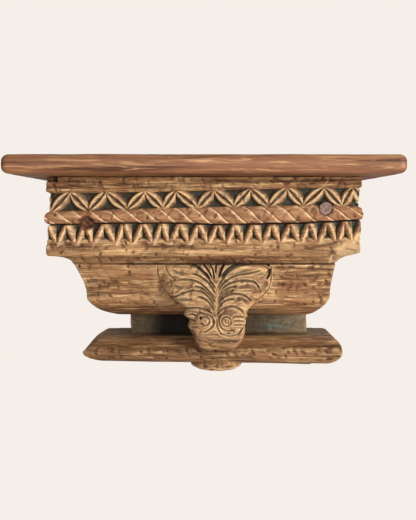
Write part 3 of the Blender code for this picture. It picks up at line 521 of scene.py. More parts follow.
# The volutes' lines: the scrolls, the rings round their eyes, and the petals beside them
VOLUTE_GROOVES = (
    (
        (-27, -135), (-18.6, -137.2), (-9.4, -139.8), (-4.2, -147.3),
        (-5.5, -155), (-13.4, -161.6), (-24, -165.5),
    ),
    ((-23, -142.5), (-17, -140.9), (-10.9, -144.5), (-11, -150.5), (-17, -153.4), (-22.5, -150.5)),
    ((-29, -147.5), (-36, -147.4), (-44, -147.8)),
    ((-28, -141), (-36, -138.6), (-43, -139.8)),
    ((-27, -156), (-33, -157.5), (-38, -157)),
    ((1.1, -140), (1, -155), (6.3, -165.3), (16, -170.3), (27.4, -168.8), (37.7, -161.6), (42.5, -152)),
    ((8, -137), (4, -144), (4.4, -152), (9.5, -159.5), (18, -162), (28, -161)),
    ((24, -141), (32, -140), (41, -142)),
    ((25, -147.3), (33, -146.7), (41, -148.5)),
    ((25, -153), (33, -152.7), (41, -154)),
    ((23, -158), (31, -157.5), (39, -158.5)),
)
LEFT_EYE = ((-22.4, -140.5), (-23, -143), (-22.4, -145))
RIGHT_EYE = (14.8, -147.9)
RIGHT_RING = 7.0


def around_eye(radius, turn):
    """A place round the eye of the right volute."""
    return RIGHT_EYE[0] + radius * math.cos(turn), RIGHT_EYE[1] + radius * math.sin(turn)


# The blank, before its bands and leaf are cut
blank = bmesh.new()
extrude_stack(blank, timber_profile())
add_rings(blank, [new_ring(blank, 40, bracket_ring(i / 32)) for i in range(33)])
boss_levels = ((-1.3, 1.0), (0.25, 1.0), (0.5, 0.97), (0.71, 0.92), (0.88, 0.83), (1.0, 0.70))
add_rings(blank, [new_ring(blank, 96, boss_ring(drop, size)) for drop, size in boss_levels])
for place_x, out, place_z, radii, turn in (
    (-0.0165, 0.1450, -0.1500, (0.0175, 0.0110, 0.0165), 0.0),
    (0.0215, 0.1450, -0.1490, (0.0225, 0.0110, 0.0200), 0.0),
    (-0.0365, 0.1370, -0.1405, (0.0125, 0.0100, 0.0062), 0.15),
    (-0.0315, 0.1370, -0.1550, (0.0110, 0.0100, 0.0078), -0.35),
    (0.0410, 0.1340, -0.1410, (0.0070, 0.0080, 0.0045), 0.5),
):
    add_lump(blank, (LEAF_X + place_x, -out, place_z), radii, turn)
bmesh.ops.recalc_face_normals(blank, faces=blank.faces)
timber_mesh = bpy.data.meshes.new("timber")
blank.to_mesh(timber_mesh)
blank.free()
timber = add_object("carved_timber", timber_mesh)


def bake_modifier(thing, kind, **settings):
    """Apply one modifier to an object's mesh."""
    modifier = thing.modifiers.new(kind.lower(), kind)
    for name, value in settings.items():
        setattr(modifier, name, value)
    depsgraph = bpy.context.evaluated_depsgraph_get()
    result = bpy.data.meshes.new_from_object(thing.evaluated_get(depsgraph))
    thing.modifiers.clear()
    thing.data = result
    return result


def divide_faces(mesh, chosen):
    """Halve the edges of the faces whose middles are chosen."""
    bm = bmesh.new()
    bm.from_mesh(mesh)
    fine = [face for face in bm.faces if chosen(face.calc_center_median())]
    edges = list({edge for face in fine for edge in face.edges})
    bmesh.ops.subdivide_edges(bm, edges=edges, cuts=1, use_grid_fill=True)
    bm.normal_update()
    bm.to_mesh(mesh)
    bm.free()


def on_leaf(place):
    """Whether a place lies on the face of the leaf bracket."""
    near = place.y < -0.100 and abs(place.x - LEAF_X) < LEAF_REACH
    return near and -0.176 < place.z < BOWL_TOP + 0.004


def on_carving(place):
    """Whether a place lies on the leaf bracket or the bands."""
    on_end = abs(place.x) > 0.222 and place.y < -0.006
    return on_leaf(place) or (place.z > COVE_TOP - 0.002 and (place.y < -0.112 or on_end))


timber_mesh = bake_modifier(timber, "REMESH", mode="VOXEL", voxel_size=VOXEL)
divide_faces(timber_mesh, on_carving)
divide_faces(timber_mesh, on_leaf)


def mesh_points(mesh):
    """A mesh's points and normals as arrays."""
    points = np.empty(len(mesh.vertices) * 3, np.float32)
    normals = np.empty(len(mesh.vertices) * 3, np.float32)
    mesh.vertices.foreach_get("co", points)
    mesh.vertex_normals.foreach_get("vector", normals)
    return points.reshape(-1, 3).astype(float), normals.reshape(-1, 3).astype(float)


def set_points(mesh, places):
    """Move a mesh's points to new places."""
    mesh.vertices.foreach_set("co", places.astype(np.float32).ravel())
    mesh.update()


points, normals = mesh_points(timber_mesh)
x, y, z = points.T
real_z = z + settled(x, z)
facing = np.clip(-normals[:, 1] * 2 - 0.6, 0, 1)
ending = np.clip(np.abs(normals[:, 0]) * 2 - 0.6, 0, 1) * (np.abs(x) > 0.2) * (1 - facing)
in_front = (y < -0.100).astype(float)

# The three bands, which run round both ends of the frieze
hand = lattice_noise(points, (0.02, 0.02, 0.02), 3) * 0.0006
v = z + lattice_noise(points, (0.03, 0.03, 0.02), 4) * 0.0004
around = np.where(ending > facing, np.sign(x) * (FRIEZE_END + FRIEZE_DEPTH + np.minimum(0, y)), x) + hand
cut = np.zeros(len(points))
wear_and_highlight = np.zeros(len(points))
strand_face = np.zeros(len(points))
on_frieze = ((y < -0.108) | (np.abs(x) > 0.215)) & (z > COVE_TOP)
band = on_frieze & (v > ROPE_TOP) & (v < LEAF_BAND_TOP - 0.0004)
cut[band], wear_and_highlight[band] = leaf_band(around[band], v[band] - ROPE_TOP)
in_leaves = band
band = on_frieze & (v > FASCIA_TOP) & (v < ZIGZAG_TOP - 0.0008)
cut[band], wear_and_highlight[band], strand_face[band] = zigzag_band(around[band], v[band] - FASCIA_TOP)
band = on_frieze & (v > ZIGZAG_TOP) & (v <= ROPE_TOP)
cut[band], wear_and_highlight[band], strand_face[band] = rope_band(around[band], v[band] - ROPE_MIDDLE)
cut *= 0.92 + 0.10 * lattice_noise(points, (0.02, 0.02, 0.02), 5)
carved = cut * np.where(in_leaves, 1.4, 1)

# The shake under the rope, the fine line in the fillet and the quirk under the cove
wander = 0.0005 * lattice_noise(points, (0.012, 0.012, 1), 6)
shake = np.exp(-(((v - ZIGZAG_TOP - wander) / 0.0011) ** 2)) * on_frieze
shake *= 1 - 0.85 * np.exp(-(((x - 0.045) / 0.004) ** 2))
cut = cut * (1 - shake) + 0.0085 * shake
line_places = (-0.237, -0.205, -0.190, -0.127, -0.032, 0.089, 0.239)
line_height = np.interp(x, line_places, (0.0508, 0.0498, 0.0520, 0.0544, 0.0558, 0.0588, 0.0610))
line = np.exp(-(((real_z - line_height + wander) / 0.0010) ** 2)) * on_frieze
line *= np.clip(0.70 + 0.4 * lattice_noise(points, (0.03, 1, 1), 15), 0.1, 1)
cut += 0.0012 * line
quirk = np.exp(-(((z - BOWL_TOP - 0.0012) / 0.0013) ** 2)) * (y < -0.05)
quirk *= np.clip((x + 0.150) / 0.03, 0.12, 1)
cut += 0.0034 * quirk
push = np.zeros_like(points)
push[:, 1] += cut * facing
push[:, 0] -= np.sign(x) * cut * ending

# The leaf and the volutes, cut into the bracket's face
jitter = 0.35 * lattice_noise(points, (0.009, 0.02, 0.009), 21)
mm_x, mm_z = (x - LEAF_X) * 1000 + jitter, z * 1000 + jitter
on_face = (y < -0.100) & (np.abs(x - LEAF_X) < LEAF_REACH) & (z > -0.178) & (z < BOWL_TOP + 0.001)
on_face &= normals[:, 1] < 0.15
relief = {name: np.zeros(len(points)) for name in ("cut", "ridge", "ground")}
eye_ring = [around_eye(RIGHT_RING, turn) for turn in np.linspace(0, 2 * math.pi, 9)]
curl = [around_eye(radius, 5 * radius / 3) for radius in (4.4, 3.4, 2.4, 1.4)]
strokes = [(groove, 2.1, 3.9, "groove") for groove in LEAF_GROOVES]
strokes += [(margin, 1.4, 2.6, "line") for margin in LEAF_MARGINS]
strokes += [(PAD_EDGE, 1.7, 2.0, "groove")]
strokes += [(hollow, 3.8, 3.0, "hollow") for hollow in LEAF_HOLLOWS]
strokes += [(ground, half, 4.6, "ground") for ground, half in SPROUT_GROUNDS]
strokes += [(groove, 1.9, 3.0, "groove") for groove in VOLUTE_GROOVES]
strokes += [(eye_ring, 1.5, 2.4, "groove"), (curl, 1.0, 1.6, "groove"), (LEFT_EYE, 2.2, 5.5, "ground")]
for stroke in strokes:
    cut_stroke(relief, mm_x, mm_z, *stroke)
leaf_cut = relief["cut"] * on_face
leaf_ridge = relief["ridge"] * np.clip(1 - leaf_cut / 0.9, 0, 1) * on_face
push[:, 1] += (leaf_cut - 0.45 * leaf_ridge) / 1000 * np.clip(-normals[:, 1] * 1.6, 0, 1)


def blot(centre_x, centre_z, half_width, half_height, edge=1.3):
    """A round patch on the front, 1 in its middle and 0 beyond its edge."""
    return np.clip(edge - np.hypot((x - centre_x) / half_width, (real_z - centre_z) / half_height), 0, 1)


def scored(points_mm, half_width):
    """A fine line scored in the front, 1 on the line and 0 beside it."""
    far = np.full(len(x), 1.0)
    for (ax, az), (bx, bz) in zip(points_mm, points_mm[1:]):
        run = np.array((bx - ax, bz - az)) / 1000
        over, up = x - ax / 1000, real_z - az / 1000
        t = np.clip((over * run[0] + up * run[1]) / (run @ run), 0, 1)
        far = np.minimum(far, np.hypot(over - t * run[0], up - t * run[1]))
    return np.clip(1 - far / half_width, 0, 1) * in_front


# Breaks and wear: the knot, the notch, the nail hole, the split and broken fascia and torn end grain
ragged = lattice_noise(points, (0.006, 0.006, 0.006), 7)
lumps = 0.0022 * lattice_noise(points, (0.004, 0.004, 0.004), 8)
knot = np.clip(2.6 * blot(-0.1785, -0.0042, 0.0146, 0.0118, 1.08) - 0.5 * ragged - 0.1, 0, 1) * in_front
push[:, 1] = np.where(knot > 0, push[:, 1] * (1 - knot) + (0.0062 + lumps) * knot, push[:, 1])
box_x = np.clip((-0.2205 - x + 0.0012 * ragged) / 0.0015, 0, 1)
box_z = np.clip((real_z - 0.0570 + 0.0016 * ragged) / 0.0020, 0, 1)
notch = box_x * box_z * in_front
push[:, 1] += (0.0050 + 0.0025 * np.clip((x + 0.236) / 0.012, 0, 1)) * notch
facet = np.clip((x - 0.1985) * 0.30 + (-0.0395 - real_z) * 0.50, 0, 0.011) * in_front * (z > -0.0665)
facet *= np.clip((x - 0.190) / 0.010, 0, 1)
push[:, 1] += facet
gouged = np.clip(blot(0.1930, -0.0475, 0.0045, 0.0045) - 0.25 * ragged, 0, 1) * in_front
push[:, 1] += 0.0036 * gouged
break_edge = scored(((189.9, -39.5), (192.0, -44.5), (196.0, -49.5), (201.5, -53.5)), 0.0018)
push[:, 1] += 0.0016 * break_edge
crack = scored(((112, -49.6), (145, -45.0), (175, -38.6), (204, -32.2)), 0.0030)
crack = np.clip(crack * (1.1 + 0.5 * ragged), 0, 1) * np.clip((x - 0.115) / 0.05, 0.25, 1)
push[:, 1] += 0.0022 * crack**2
scratch = scored(((176, 45.0), (188, 61.0)), 0.0011)
push[:, 1] += 0.0008 * scratch
torn = np.clip(0.5 * lattice_noise(points, (0.007, 0.007, 0.005), 9) + 0.30, 0, 1)
torn *= np.clip((x - 0.224) / 0.010, 0, 1) * np.exp(-(((real_z - 0.026) / 0.015) ** 2))
push[:, 0] -= 0.0060 * torn
push[:, 1] += 0.0050 * torn * in_front
nail = blot(-0.1908, -0.0700, 0.0019, 0.0019, 1.2) * in_front
push[:, 1] += 0.006 * np.minimum(1, 2 * nail)

# The hole for the peg, with the timber ragged around it
low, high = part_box("frieze_peg")
peg_centre = (low + high) / 2
peg_radius = (high.x - low.x) / 2
from_peg = np.hypot(x - peg_centre.x, real_z - peg_centre.z) + 0.0005 * ragged
in_hole = np.clip((peg_radius + 0.0012 - from_peg) / 0.0008, 0, 1) * in_front
push[:, 1] = push[:, 1] * (1 - in_hole) + np.maximum(0, -0.1275 - y) * in_hole

# Wear everywhere: planing marks, the neck's adze marks, the slab's split foot
worn = 0.00030 * lattice_noise(points, (0.040, 0.016, 0.014), 11)
worn += 0.00010 * lattice_noise(points, (0.030, 0.004, 0.0035), 12)
worn += 0.00004 * lattice_noise(points, (0.014, 0.0022, 0.0018), 13)
neck = np.clip((NECK_TOP + 0.004 - z) / 0.004, 0, 1) * np.clip((z - SLAB_TOP + 0.002) / 0.003, 0, 1)
neck *= np.clip((y + 0.062) / 0.006, 0, 1)
worn += 0.0009 * neck * lattice_noise(points, (0.008, 0.02, 0.012), 14)
on_bowl = np.clip((BOWL_TOP - z) / 0.006, 0, 1) * np.clip((z - NECK_TOP) / 0.01, 0, 1)
marks = lattice_noise(np.stack((x + 0.6 * z, y, z * 1.6 - 0.5 * x), axis=1), (0.020, 0.020, 0.0035), 16)
worn += 0.00022 * on_bowl * marks
push += normals * (worn * (1 - np.clip(1 + y / 0.003, 0, 1)))[:, None]
foot_split = np.clip((x - 0.168 - 0.002 * ragged) / 0.002, 0, 1)
foot_split *= np.clip((SLAB_BASE + 0.004 - z) / 0.004, 0, 1)
push[:, 2] += 0.0032 * foot_split
moved = points + push
moved[:, 2] += settled(x, z)
moved[:, 1] = np.minimum(moved[:, 1], -0.0001)
set_points(timber_mesh, moved)


def cavity(mesh, rounds):
    """How far each point stands out of its surroundings, in metres: ridges above 0, hollows below."""
    points, normals = mesh_points(mesh)
    pairs = np.empty(len(mesh.edges) * 2, np.int32)
    mesh.edges.foreach_get("vertices", pairs)
    a, b = pairs.reshape(-1, 2).T
    count = np.bincount(a, minlength=len(points)) + np.bincount(b, minlength=len(points))
    smooth = points.copy()
    for _ in range(rounds):
        total = np.empty_like(smooth)
        for axis in range(3):
            line = smooth[:, axis]
            total[:, axis] = np.bincount(a, line[b], len(points)) + np.bincount(b, line[a], len(points))
        smooth = 0.5 * smooth + 0.5 * total / count[:, None]
    return np.einsum("ij,ij->i", points - smooth, normals)


def store(mesh, name, values):
    """Keep one share for each point of a mesh, for its material."""
    attribute = mesh.attributes.new(name, "FLOAT", "POINT")
    attribute.data.foreach_set("value", np.clip(values, 0, 1).astype(np.float32))


# What the timber's material is given: worn edges with painted highlights, dirt, dark breaks with painted
# shade and shadow, paint, and painted shade on the lower mouldings
broad_cavity = cavity(timber_mesh, 18)
fine_cavity = cavity(timber_mesh, 3)
on_cuts = np.maximum(on_face, on_frieze & (z > FASCIA_TOP) & (z < LEAF_BAND_TOP))
standing = 0.35 * np.clip(fine_cavity / 0.0003, 0, 1) * on_cuts
standing = np.maximum(standing, 0.7 * np.clip((broad_cavity - 0.0004 * (1 - on_cuts)) / 0.0016, 0, 1))
standing *= 1 - 0.85 * strand_face
wear_and_highlight = np.maximum.reduce((wear_and_highlight * (1 - shake), leaf_ridge, standing)) * (1 - knot)
on_boss = (z < SLAB_BASE - 0.002).astype(float)
wear_and_highlight = np.maximum(wear_and_highlight, 0.14 * np.maximum(on_face, on_boss))
deep = np.clip((carved - 0.0024) / 0.0026, 0, 1)
leaf_deep = np.clip((leaf_cut - 1.0) / 2.0, 0, 1) * 0.9
sunk = np.maximum(deep, leaf_deep)
fresh_break = np.clip(facet / 0.002, 0, 1) * (1 - gouged) * 0.45
store(timber_mesh, "wear_and_highlight", np.maximum.reduce((wear_and_highlight, 0.9 * scratch, fresh_break)))
store(timber_mesh, "recess", np.maximum(sunk, 0.45 * np.clip((-broad_cavity - 0.0003) / 0.0012, 0, 1)))
# Near black laid over the colour, partly dark breaks and partly painted shade: the shake, the crack, the
# nail and peg holes, the ring round the peg and the fillet's fine line are dark openings in the wood; the
# notch under the plank, the broken fascia's edge, the deepest cuts, the bracket's shadow on the neck, the
# hollow left of the tongue and the crescents in the knot are painted shade and shadow; the quirk and the
# gouge are darkened as well
breaks_and_painted_shade = np.maximum.reduce((1.3 * shake * (1 - knot), 0.9 * quirk, 0.6 * notch, nail))
breaks_and_painted_shade = np.maximum.reduce((breaks_and_painted_shade, 0.55 * crack, 0.7 * gouged, 0.75 * break_edge))
in_ring = np.clip(1 - np.abs(from_peg - peg_radius - 0.0009) / 0.0010, 0, 1) * in_front
in_ring *= np.clip(0.6 + 60 * (x - peg_centre.x) - 45 * (real_z - peg_centre.z) + 0.3 * ragged, 0.15, 1)
# Painted shadow of the bracket, cast over the neck's left part; right of the bracket the neck is only
# darkened towards it
painted_bracket_shadow = 0.95 * np.clip((x + 0.104) / 0.035, 0, 1)
darker_right_of_bracket = 0.4 * np.clip((0.140 - x) / 0.05, 0, 1)
neck_shadow_and_darkening = neck * np.where(x < LEAF_X, painted_bracket_shadow, darker_right_of_bracket)
# Painted shadow in the hollow left of the bracket's tongue
painted_shadow_left_of_tongue = 0.85 * blot(-0.0185, -0.1725, 0.0075, 0.0130) * (y < -0.09) * (z < -0.160)
# Painted shade: dark crescents on the right side of the knot's hollow, above and below
knot_crescent_shade = knot * np.maximum(blot(-0.1700, 0.0010, 0.0075, 0.0035), blot(-0.1725, -0.0095, 0.0040, 0.0035))
# Painted shade in the deepest cuts of the bands and the sunk ground behind the leaf's sprouts
painted_shade_in_deep_cuts = 0.55 * np.clip((carved - 0.0052) / 0.0015, 0, 1) + 0.75 * relief["ground"] * on_face
breaks_and_painted_shade = np.maximum.reduce((breaks_and_painted_shade, in_hole, in_ring, painted_shade_in_deep_cuts, 0.6 * line))
breaks_and_painted_shade = np.maximum.reduce((breaks_and_painted_shade, neck_shadow_and_darkening, painted_shadow_left_of_tongue, knot_crescent_shade))
store(timber_mesh, "dark_breaks_and_shade", breaks_and_painted_shade)
store(timber_mesh, "knot", 1.5 * knot)
right_half = np.clip(0.45 + x / 0.30, 0.15, 1)
patchy = np.clip(0.5 + 1.2 * lattice_noise(points, (0.014, 0.014, 0.007), 17), 0, 1)
turquoise = blot(0.118, -0.176, 0.030, 0.010, 1.2) * neck
turquoise = np.maximum(turquoise, 0.7 * blot(0.082, -0.147, 0.018, 0.005) * (y > -0.11))
store(timber_mesh, "paint", np.maximum(0.9 * deep * right_half * patchy, turquoise))
store(timber_mesh, "grime", neck)
# Painted shade: the downward-facing cove and lower bowl and the slab's front are darkened, most on the left,
# and the fascia most on the right
leftward = np.clip(0.65 - x / 0.35, 0.1, 1)
in_cove = 0.8 * np.clip((COVE_TOP + 0.003 - z) / 0.004, 0, 1) * (z > BOWL_TOP)
in_cove *= np.clip(0.9 - x / 0.6, 0, 1)
low_bowl = 0.15 * leftward + 0.45 * np.clip((NECK_TOP + 0.03 - z) / 0.03, 0, 1)
on_bowl_face = low_bowl * np.clip((BOWL_TOP - z) / 0.004, 0, 1) * (z > SLAB_TOP)
slab_front = np.clip((SLAB_TOP - 0.003 - z) / 0.005, 0, 1) * (1 - on_boss)
slab_front *= 0.62 - 0.22 * np.clip(x / 0.2, 0, 1)
on_fascia = 0.45 * (z < FASCIA_TOP - 0.001) * (z > COVE_TOP) * np.clip(x / 0.12, 0, 1)
painted_shade = np.maximum.reduce((in_cove, on_bowl_face, slab_front, on_fascia)) * (1 - neck) * (y < -0.006)
store(timber_mesh, "painted_shade", painted_shade * np.where(z > COVE_TOP, 1, y > -0.127))
store(timber_mesh, "strand", strand_face * (1 - knot) * (1 - in_hole))

triangles = sum(len(polygon.vertices) - 2 for polygon in timber_mesh.polygons)
if triangles > TIMBER_TRIANGLES:
    bake_modifier(timber, "DECIMATE", ratio=TIMBER_TRIANGLES / triangles, use_collapse_triangulate=True)
timber.data.name = "carved_timber"
timber.data.shade_smooth()
timber.data.set_sharp_from_angle(angle=math.radians(65))


def linear(red, green, blue):
    """A colour given as 0 to 255 on screen, for a shader."""
    shares = (value / 255 for value in (red, green, blue))
    return (*(s / 12.92 if s <= 0.04045 else ((s + 0.055) / 1.055) ** 2.4 for s in shares), 1)


def wood_material(name):
    """An empty material with its shader, output and object coordinates."""
    material = bpy.data.materials.new(name)
    material.use_nodes = True
    tree = material.node_tree
    shader = tree.nodes["Principled BSDF"]
    place = add_node(tree, "ShaderNodeTexCoord")
    return material, tree, shader, place.outputs["Object"]


def streaks(tree, place, scale, detail=4.0, roughness=0.55, distortion=0.0, turn=(0, 0, 0)):
    """Noise drawn out along the grain, as a value."""
    mapping = add_node(tree, "ShaderNodeMapping", Scale=scale, Rotation=turn)
    noise = add_node(tree, "ShaderNodeTexNoise", Scale=1.0, Detail=detail, Roughness=roughness)
    noise.inputs["Distortion"].default_value = distortion
    tree.links.new(place, mapping.inputs["Vector"])
    tree.links.new(mapping.outputs[0], noise.inputs["Vector"])
    return noise.outputs["Fac"]


def ramp(tree, value, stops):
    """A colour ramp through (place, colour) stops."""
    made = add_node(tree, "ShaderNodeValToRGB")
    elements = made.color_ramp.elements
    while len(elements) < len(stops):
        elements.new(0.5)
    for element, (where, colour) in zip(elements, stops):
        element.position = where
        element.color = colour if len(colour) == 4 else (*colour, 1)
    tree.links.new(value, made.inputs["Fac"])
    return made.outputs["Color"]


def tones(tree, value, first, dark, last, light):
    """A ramp of greys from one tone at the first level of a value to another at the last."""
    return ramp(tree, value, ((first, (dark, dark, dark)), (last, (light, light, light))))


def blend(tree, share, base, top, mode="MIX"):
    """Lay one colour over another by a share, which is a number or a value."""
    mix = add_node(tree, "ShaderNodeMix", data_type="RGBA", blend_type=mode)
    for source, socket in ((share, mix.inputs[0]), (base, mix.inputs[6]), (top, mix.inputs[7])):
        if isinstance(source, (float, tuple)):
            socket.default_value = source
        else:
            tree.links.new(source, socket)
    return mix.outputs[2]


def combine(tree, operation, first, second, clamp=False):
    """One sum on two numbers or values."""
    sum_node = add_node(tree, "ShaderNodeMath", operation=operation, use_clamp=clamp)
    for source, socket in zip((first, second), sum_node.inputs):
        if isinstance(source, float):
            socket.default_value = source
        else:
            tree.links.new(source, socket)
    return sum_node.outputs[0]


def attribute(tree, name):
    """One of the shares that the mesh keeps."""
    return add_node(tree, "ShaderNodeAttribute", attribute_name=name).outputs["Fac"]


def set_bump(tree, shader, height, strength, distance):
    """Give a material its bump from a value."""
    bump = add_node(tree, "ShaderNodeBump", Strength=strength, Distance=distance)
    tree.links.new(height, bump.inputs["Height"])
    tree.links.new(bump.outputs["Normal"], shader.inputs["Normal"])


old_wood, tree, shader, place = wood_material("old_teak")
bands = streaks(tree, place, (3.2, 26, 44), detail=5, distortion=0.25)
colour = ramp(tree, bands, (
    (0.32, linear(104, 68, 42)),
    (0.43, linear(150, 108, 70)),
    (0.54, linear(182, 138, 95)),
    (0.68, linear(208, 166, 120)),
))
patches = streaks(tree, place, (7, 7, 11), detail=3)
colour = blend(tree, tones(tree, patches, 0.44, 0, 0.68, 0.5), colour, linear(136, 86, 54))
dry = streaks(tree, place, (26, 120, 210), detail=3, roughness=0.6)
colour = blend(tree, tones(tree, dry, 0.52, 0, 0.64, 0.8), colour, linear(230, 190, 138))
stained = streaks(tree, place, (9, 90, 150), detail=4, roughness=0.6)
colour = blend(tree, tones(tree, stained, 0.53, 0, 0.66, 0.85), colour, linear(78, 50, 32))
fibres = streaks(tree, place, (34, 520, 760), detail=3, roughness=0.7)
colour = blend(tree, 0.95, colour, tones(tree, fibres, 0.34, 0.50, 0.62, 1.30), "MULTIPLY")
pores = streaks(tree, place, (110, 900, 1200), detail=1)
colour = blend(tree, 0.8, colour, tones(tree, pores, 0.30, 0.35, 0.41, 1), "MULTIPLY")
mottle = streaks(tree, place, (190, 190, 190), detail=3)
strands = combine(tree, "MULTIPLY", attribute(tree, "strand"), 0.6)
colour = blend(tree, strands, colour, linear(156, 104, 76))
# Painted shade laid over the cove, lower bowl, slab front and fascia
shaded_colour = blend(tree, 1.0, colour, linear(164, 150, 134), "MULTIPLY")
colour = blend(tree, attribute(tree, "painted_shade"), colour, shaded_colour)
grime = ramp(tree, patches, ((0.4, linear(92, 80, 62)), (0.6, linear(138, 124, 100))))
grime = blend(tree, 0.6, grime, tones(tree, mottle, 0.35, 0.5, 0.62, 1.25), "MULTIPLY")
colour = blend(tree, combine(tree, "MULTIPLY", attribute(tree, "grime"), 0.85), colour, grime)
recess = attribute(tree, "recess")
dirt = combine(tree, "MULTIPLY", recess, tones(tree, mottle, 0.30, 0.8, 0.6, 1.15), clamp=True)
soil = ramp(tree, mottle, ((0.35, linear(40, 34, 25)), (0.62, linear(84, 76, 58))))
colour = blend(tree, dirt, colour, soil)
flaking = streaks(tree, place, (90, 90, 90), detail=4, roughness=0.7)
flakes = tones(tree, flaking, 0.44, 0.1, 0.60, 0.95)
paint = combine(tree, "MULTIPLY", attribute(tree, "paint"), flakes, clamp=True)
teal = ramp(tree, mottle, ((0.35, linear(66, 84, 78)), (0.65, linear(112, 140, 132))))
colour = blend(tree, paint, colour, teal)
# Pale worn edges, and painted highlights on the band walls that face the light
wear_and_highlight_share = combine(tree, "MULTIPLY", attribute(tree, "wear_and_highlight"), tones(tree, mottle, 0.3, 0.55, 0.6, 0.95))
colour = blend(tree, wear_and_highlight_share, colour, linear(246, 212, 166))
broken = ramp(tree, mottle, ((0.35, linear(64, 36, 27)), (0.62, linear(134, 86, 66))))
colour = blend(tree, attribute(tree, "knot"), colour, broken)
# Near black laid over the colour: dark breaks in the wood, and painted shade and shadow
colour = blend(tree, attribute(tree, "dark_breaks_and_shade"), colour, linear(28, 21, 15))
tree.links.new(colour, shader.inputs["Base Color"])
tree.links.new(tones(tree, fibres, 0.3, 0.88, 0.7, 0.64), shader.inputs["Roughness"])
shader.inputs["Specular IOR Level"].default_value = 0.30
height = combine(tree, "MULTIPLY", fibres, 0.6)
for value, share in ((pores, 0.5), (mottle, 0.10), (dry, 0.25)):
    height = combine(tree, "ADD", height, combine(tree, "MULTIPLY", value, share))
set_bump(tree, shader, height, 0.6, 0.0009)
timber.data.materials.clear()
timber.data.materials.append(old_wood)
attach(timber, "root")
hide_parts("carved_corbel")

# Plank
# The shelf itself, a newer planed board with rounded corners and a soft nose, waxed to a sheen.
# It lies on the timber's sawn top.
PLANK_CORNER = 0.012
PLANK_NOSE = 0.0105
PLANK_CELL = 0.007
low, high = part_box("shelf_board")
plank_mesh = bpy.data.meshes.new("plank")
bm = bmesh.new()
bmesh.ops.create_cube(bm, size=1)
bmesh.ops.scale(bm, vec=high - low, verts=bm.verts)
bmesh.ops.translate(bm, vec=(low + high) / 2, verts=bm.verts)


def climb(edge):
    """How far an edge rises from one end to the other."""
    return abs(edge.verts[0].co.z - edge.verts[1].co.z)


corners = [e for e in bm.edges if all(v.co.y < -0.1 for v in e.verts) and climb(e) > 0.01]
bmesh.ops.bevel(bm, geom=corners, offset=PLANK_CORNER, affect="EDGES", segments=10, profile=0.5, material=-1)
rims = [e for e in bm.edges if climb(e) < 0.01 and min(v.co.y for v in e.verts) < -0.011]
rims = [e for e in rims if e.calc_face_angle(0) > 0.5]
bmesh.ops.bevel(bm, geom=rims, offset=PLANK_NOSE, affect="EDGES", segments=8, profile=0.5, material=-1)
for normal, first, last in ((Vector((1, 0, 0)), low.x, high.x), (Vector((0, 1, 0)), low.y, high.y)):
    for i in range(1, int((last - first) / PLANK_CELL)):
        parts = bm.verts[:] + bm.edges[:] + bm.faces[:]
        cut_at = normal * (first + i * PLANK_CELL)
        bmesh.ops.bisect_plane(bm, geom=parts, plane_co=cut_at, plane_no=normal)
bmesh.ops.recalc_face_normals(bm, faces=bm.faces)
bm.to_mesh(plank_mesh)
bm.free()
plank = add_object("waxed_plank", plank_mesh)
points, normals = mesh_points(plank_mesh)
dents = 0.00035 * lattice_noise(points, (0.05, 0.03, 0.02), 31)
dents += 0.00018 * lattice_noise(points, (0.012, 0.012, 0.008), 32)
planed = points - normals * (0.0004 + dents)[:, None]
planed[:, 1] = np.minimum(planed[:, 1], 0)
set_points(plank_mesh, planed)
plank_mesh.shade_smooth()
plank_mesh.set_sharp_from_angle(angle=math.radians(40))

waxed, tree, shader, place = wood_material("waxed_board")
bands = streaks(tree, place, (2.6, 18, 70), detail=6, roughness=0.6, distortion=1.4)
colour = ramp(tree, bands, (
    (0.34, linear(86, 50, 31)),
    (0.44, linear(130, 84, 54)),
    (0.54, linear(162, 112, 76)),
    (0.66, linear(204, 156, 112)),
))
patches = streaks(tree, place, (5, 12, 12), detail=2)
colour = blend(tree, tones(tree, patches, 0.45, 0, 0.62, 0.5), colour, linear(160, 108, 82))
golden = streaks(tree, place, (14, 70, 190), detail=4, roughness=0.6, distortion=1.0)
colour = blend(tree, tones(tree, golden, 0.54, 0, 0.68, 0.8), colour, linear(220, 172, 120))
dark = streaks(tree, place, (9, 60, 160), detail=4, roughness=0.6, distortion=1.6)
colour = blend(tree, tones(tree, dark, 0.53, 0, 0.68, 0.8), colour, linear(92, 54, 36))
fibres = streaks(tree, place, (26, 600, 900), detail=3, roughness=0.7)
colour = blend(tree, 0.55, colour, tones(tree, fibres, 0.3, 0.66, 0.62, 1.10), "MULTIPLY")
pores = streaks(tree, place, (70, 1100, 1500), detail=1)
colour = blend(tree, 0.5, colour, tones(tree, pores, 0.30, 0.5, 0.40, 1), "MULTIPLY")
tree.links.new(colour, shader.inputs["Base Color"])
tree.links.new(tones(tree, bands, 0.3, 0.56, 0.7, 0.44), shader.inputs["Roughness"])
shader.inputs["Specular IOR Level"].default_value = 0.4
set_bump(tree, shader, fibres, 0.35, 0.0004)
plank_mesh.materials.append(waxed)
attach(plank, "root")
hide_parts("shelf_board")

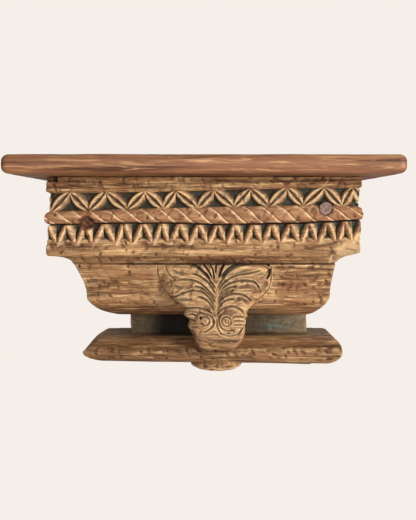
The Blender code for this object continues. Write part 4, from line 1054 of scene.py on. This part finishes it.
# Peg
# A round peg of darker wood driven into the frieze from the front. Its worn end grain stands
# nearly flush with the rope.
low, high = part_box("frieze_peg")
peg_mesh = bpy.data.meshes.new("peg")
bm = bmesh.new()
disc = bmesh.ops.create_circle(bm, cap_ends=True, segments=64, radius=peg_radius)["verts"]
face = disc[0].link_faces[0]
for _ in range(9):
    bmesh.ops.inset_region(bm, faces=[face], thickness=peg_radius / 10, depth=0, use_even_offset=True)
rim = [edge for edge in bm.edges if edge.is_boundary]
wall = bmesh.ops.extrude_edge_only(bm, edges=rim)["geom"]
wall_verts = [g for g in wall if isinstance(g, bmesh.types.BMVert)]
bmesh.ops.translate(bm, vec=(0, 0, low.y - high.y), verts=wall_verts)
bmesh.ops.contextual_create(bm, geom=[g for g in wall if isinstance(g, bmesh.types.BMEdge)])
bmesh.ops.rotate(bm, matrix=Matrix.Rotation(math.pi / 2, 3, "X"), verts=bm.verts)
bmesh.ops.translate(bm, vec=(peg_centre.x, low.y, peg_centre.z), verts=bm.verts)
bmesh.ops.recalc_face_normals(bm, faces=bm.faces)
bm.to_mesh(peg_mesh)
bm.free()
points, normals = mesh_points(peg_mesh)
out_from = np.hypot(points[:, 0] - peg_centre.x, points[:, 2] - peg_centre.z) / peg_radius
front = points[:, 1] < low.y + 0.001
lift = 0.0010 * out_from**6 + 0.0004 + 0.0004 * lattice_noise(points, (0.004, 0.004, 0.004), 41)
points[:, 1] += np.where(front, lift, 0)
set_points(peg_mesh, points)
peg_mesh.shade_smooth()
peg_mesh.set_sharp_from_angle(angle=math.radians(50))
peg = add_object("round_peg", peg_mesh)

peg_wood, tree, shader, place = wood_material("peg_end_grain")
speckle = streaks(tree, place, (900, 40, 900), detail=2)
worn_face = streaks(tree, place, (190, 20, 190), detail=4, distortion=1.2)
colour = ramp(tree, worn_face, ((0.35, linear(104, 78, 70)), (0.62, linear(166, 136, 126))))
colour = blend(tree, 0.6, colour, tones(tree, speckle, 0.35, 0.6, 0.6, 1.1), "MULTIPLY")
tree.links.new(colour, shader.inputs["Base Color"])
shader.inputs["Roughness"].default_value = 0.66
set_bump(tree, shader, speckle, 0.5, 0.0004)
peg_mesh.materials.append(peg_wood)
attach(peg, "root")
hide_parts("frieze_peg")
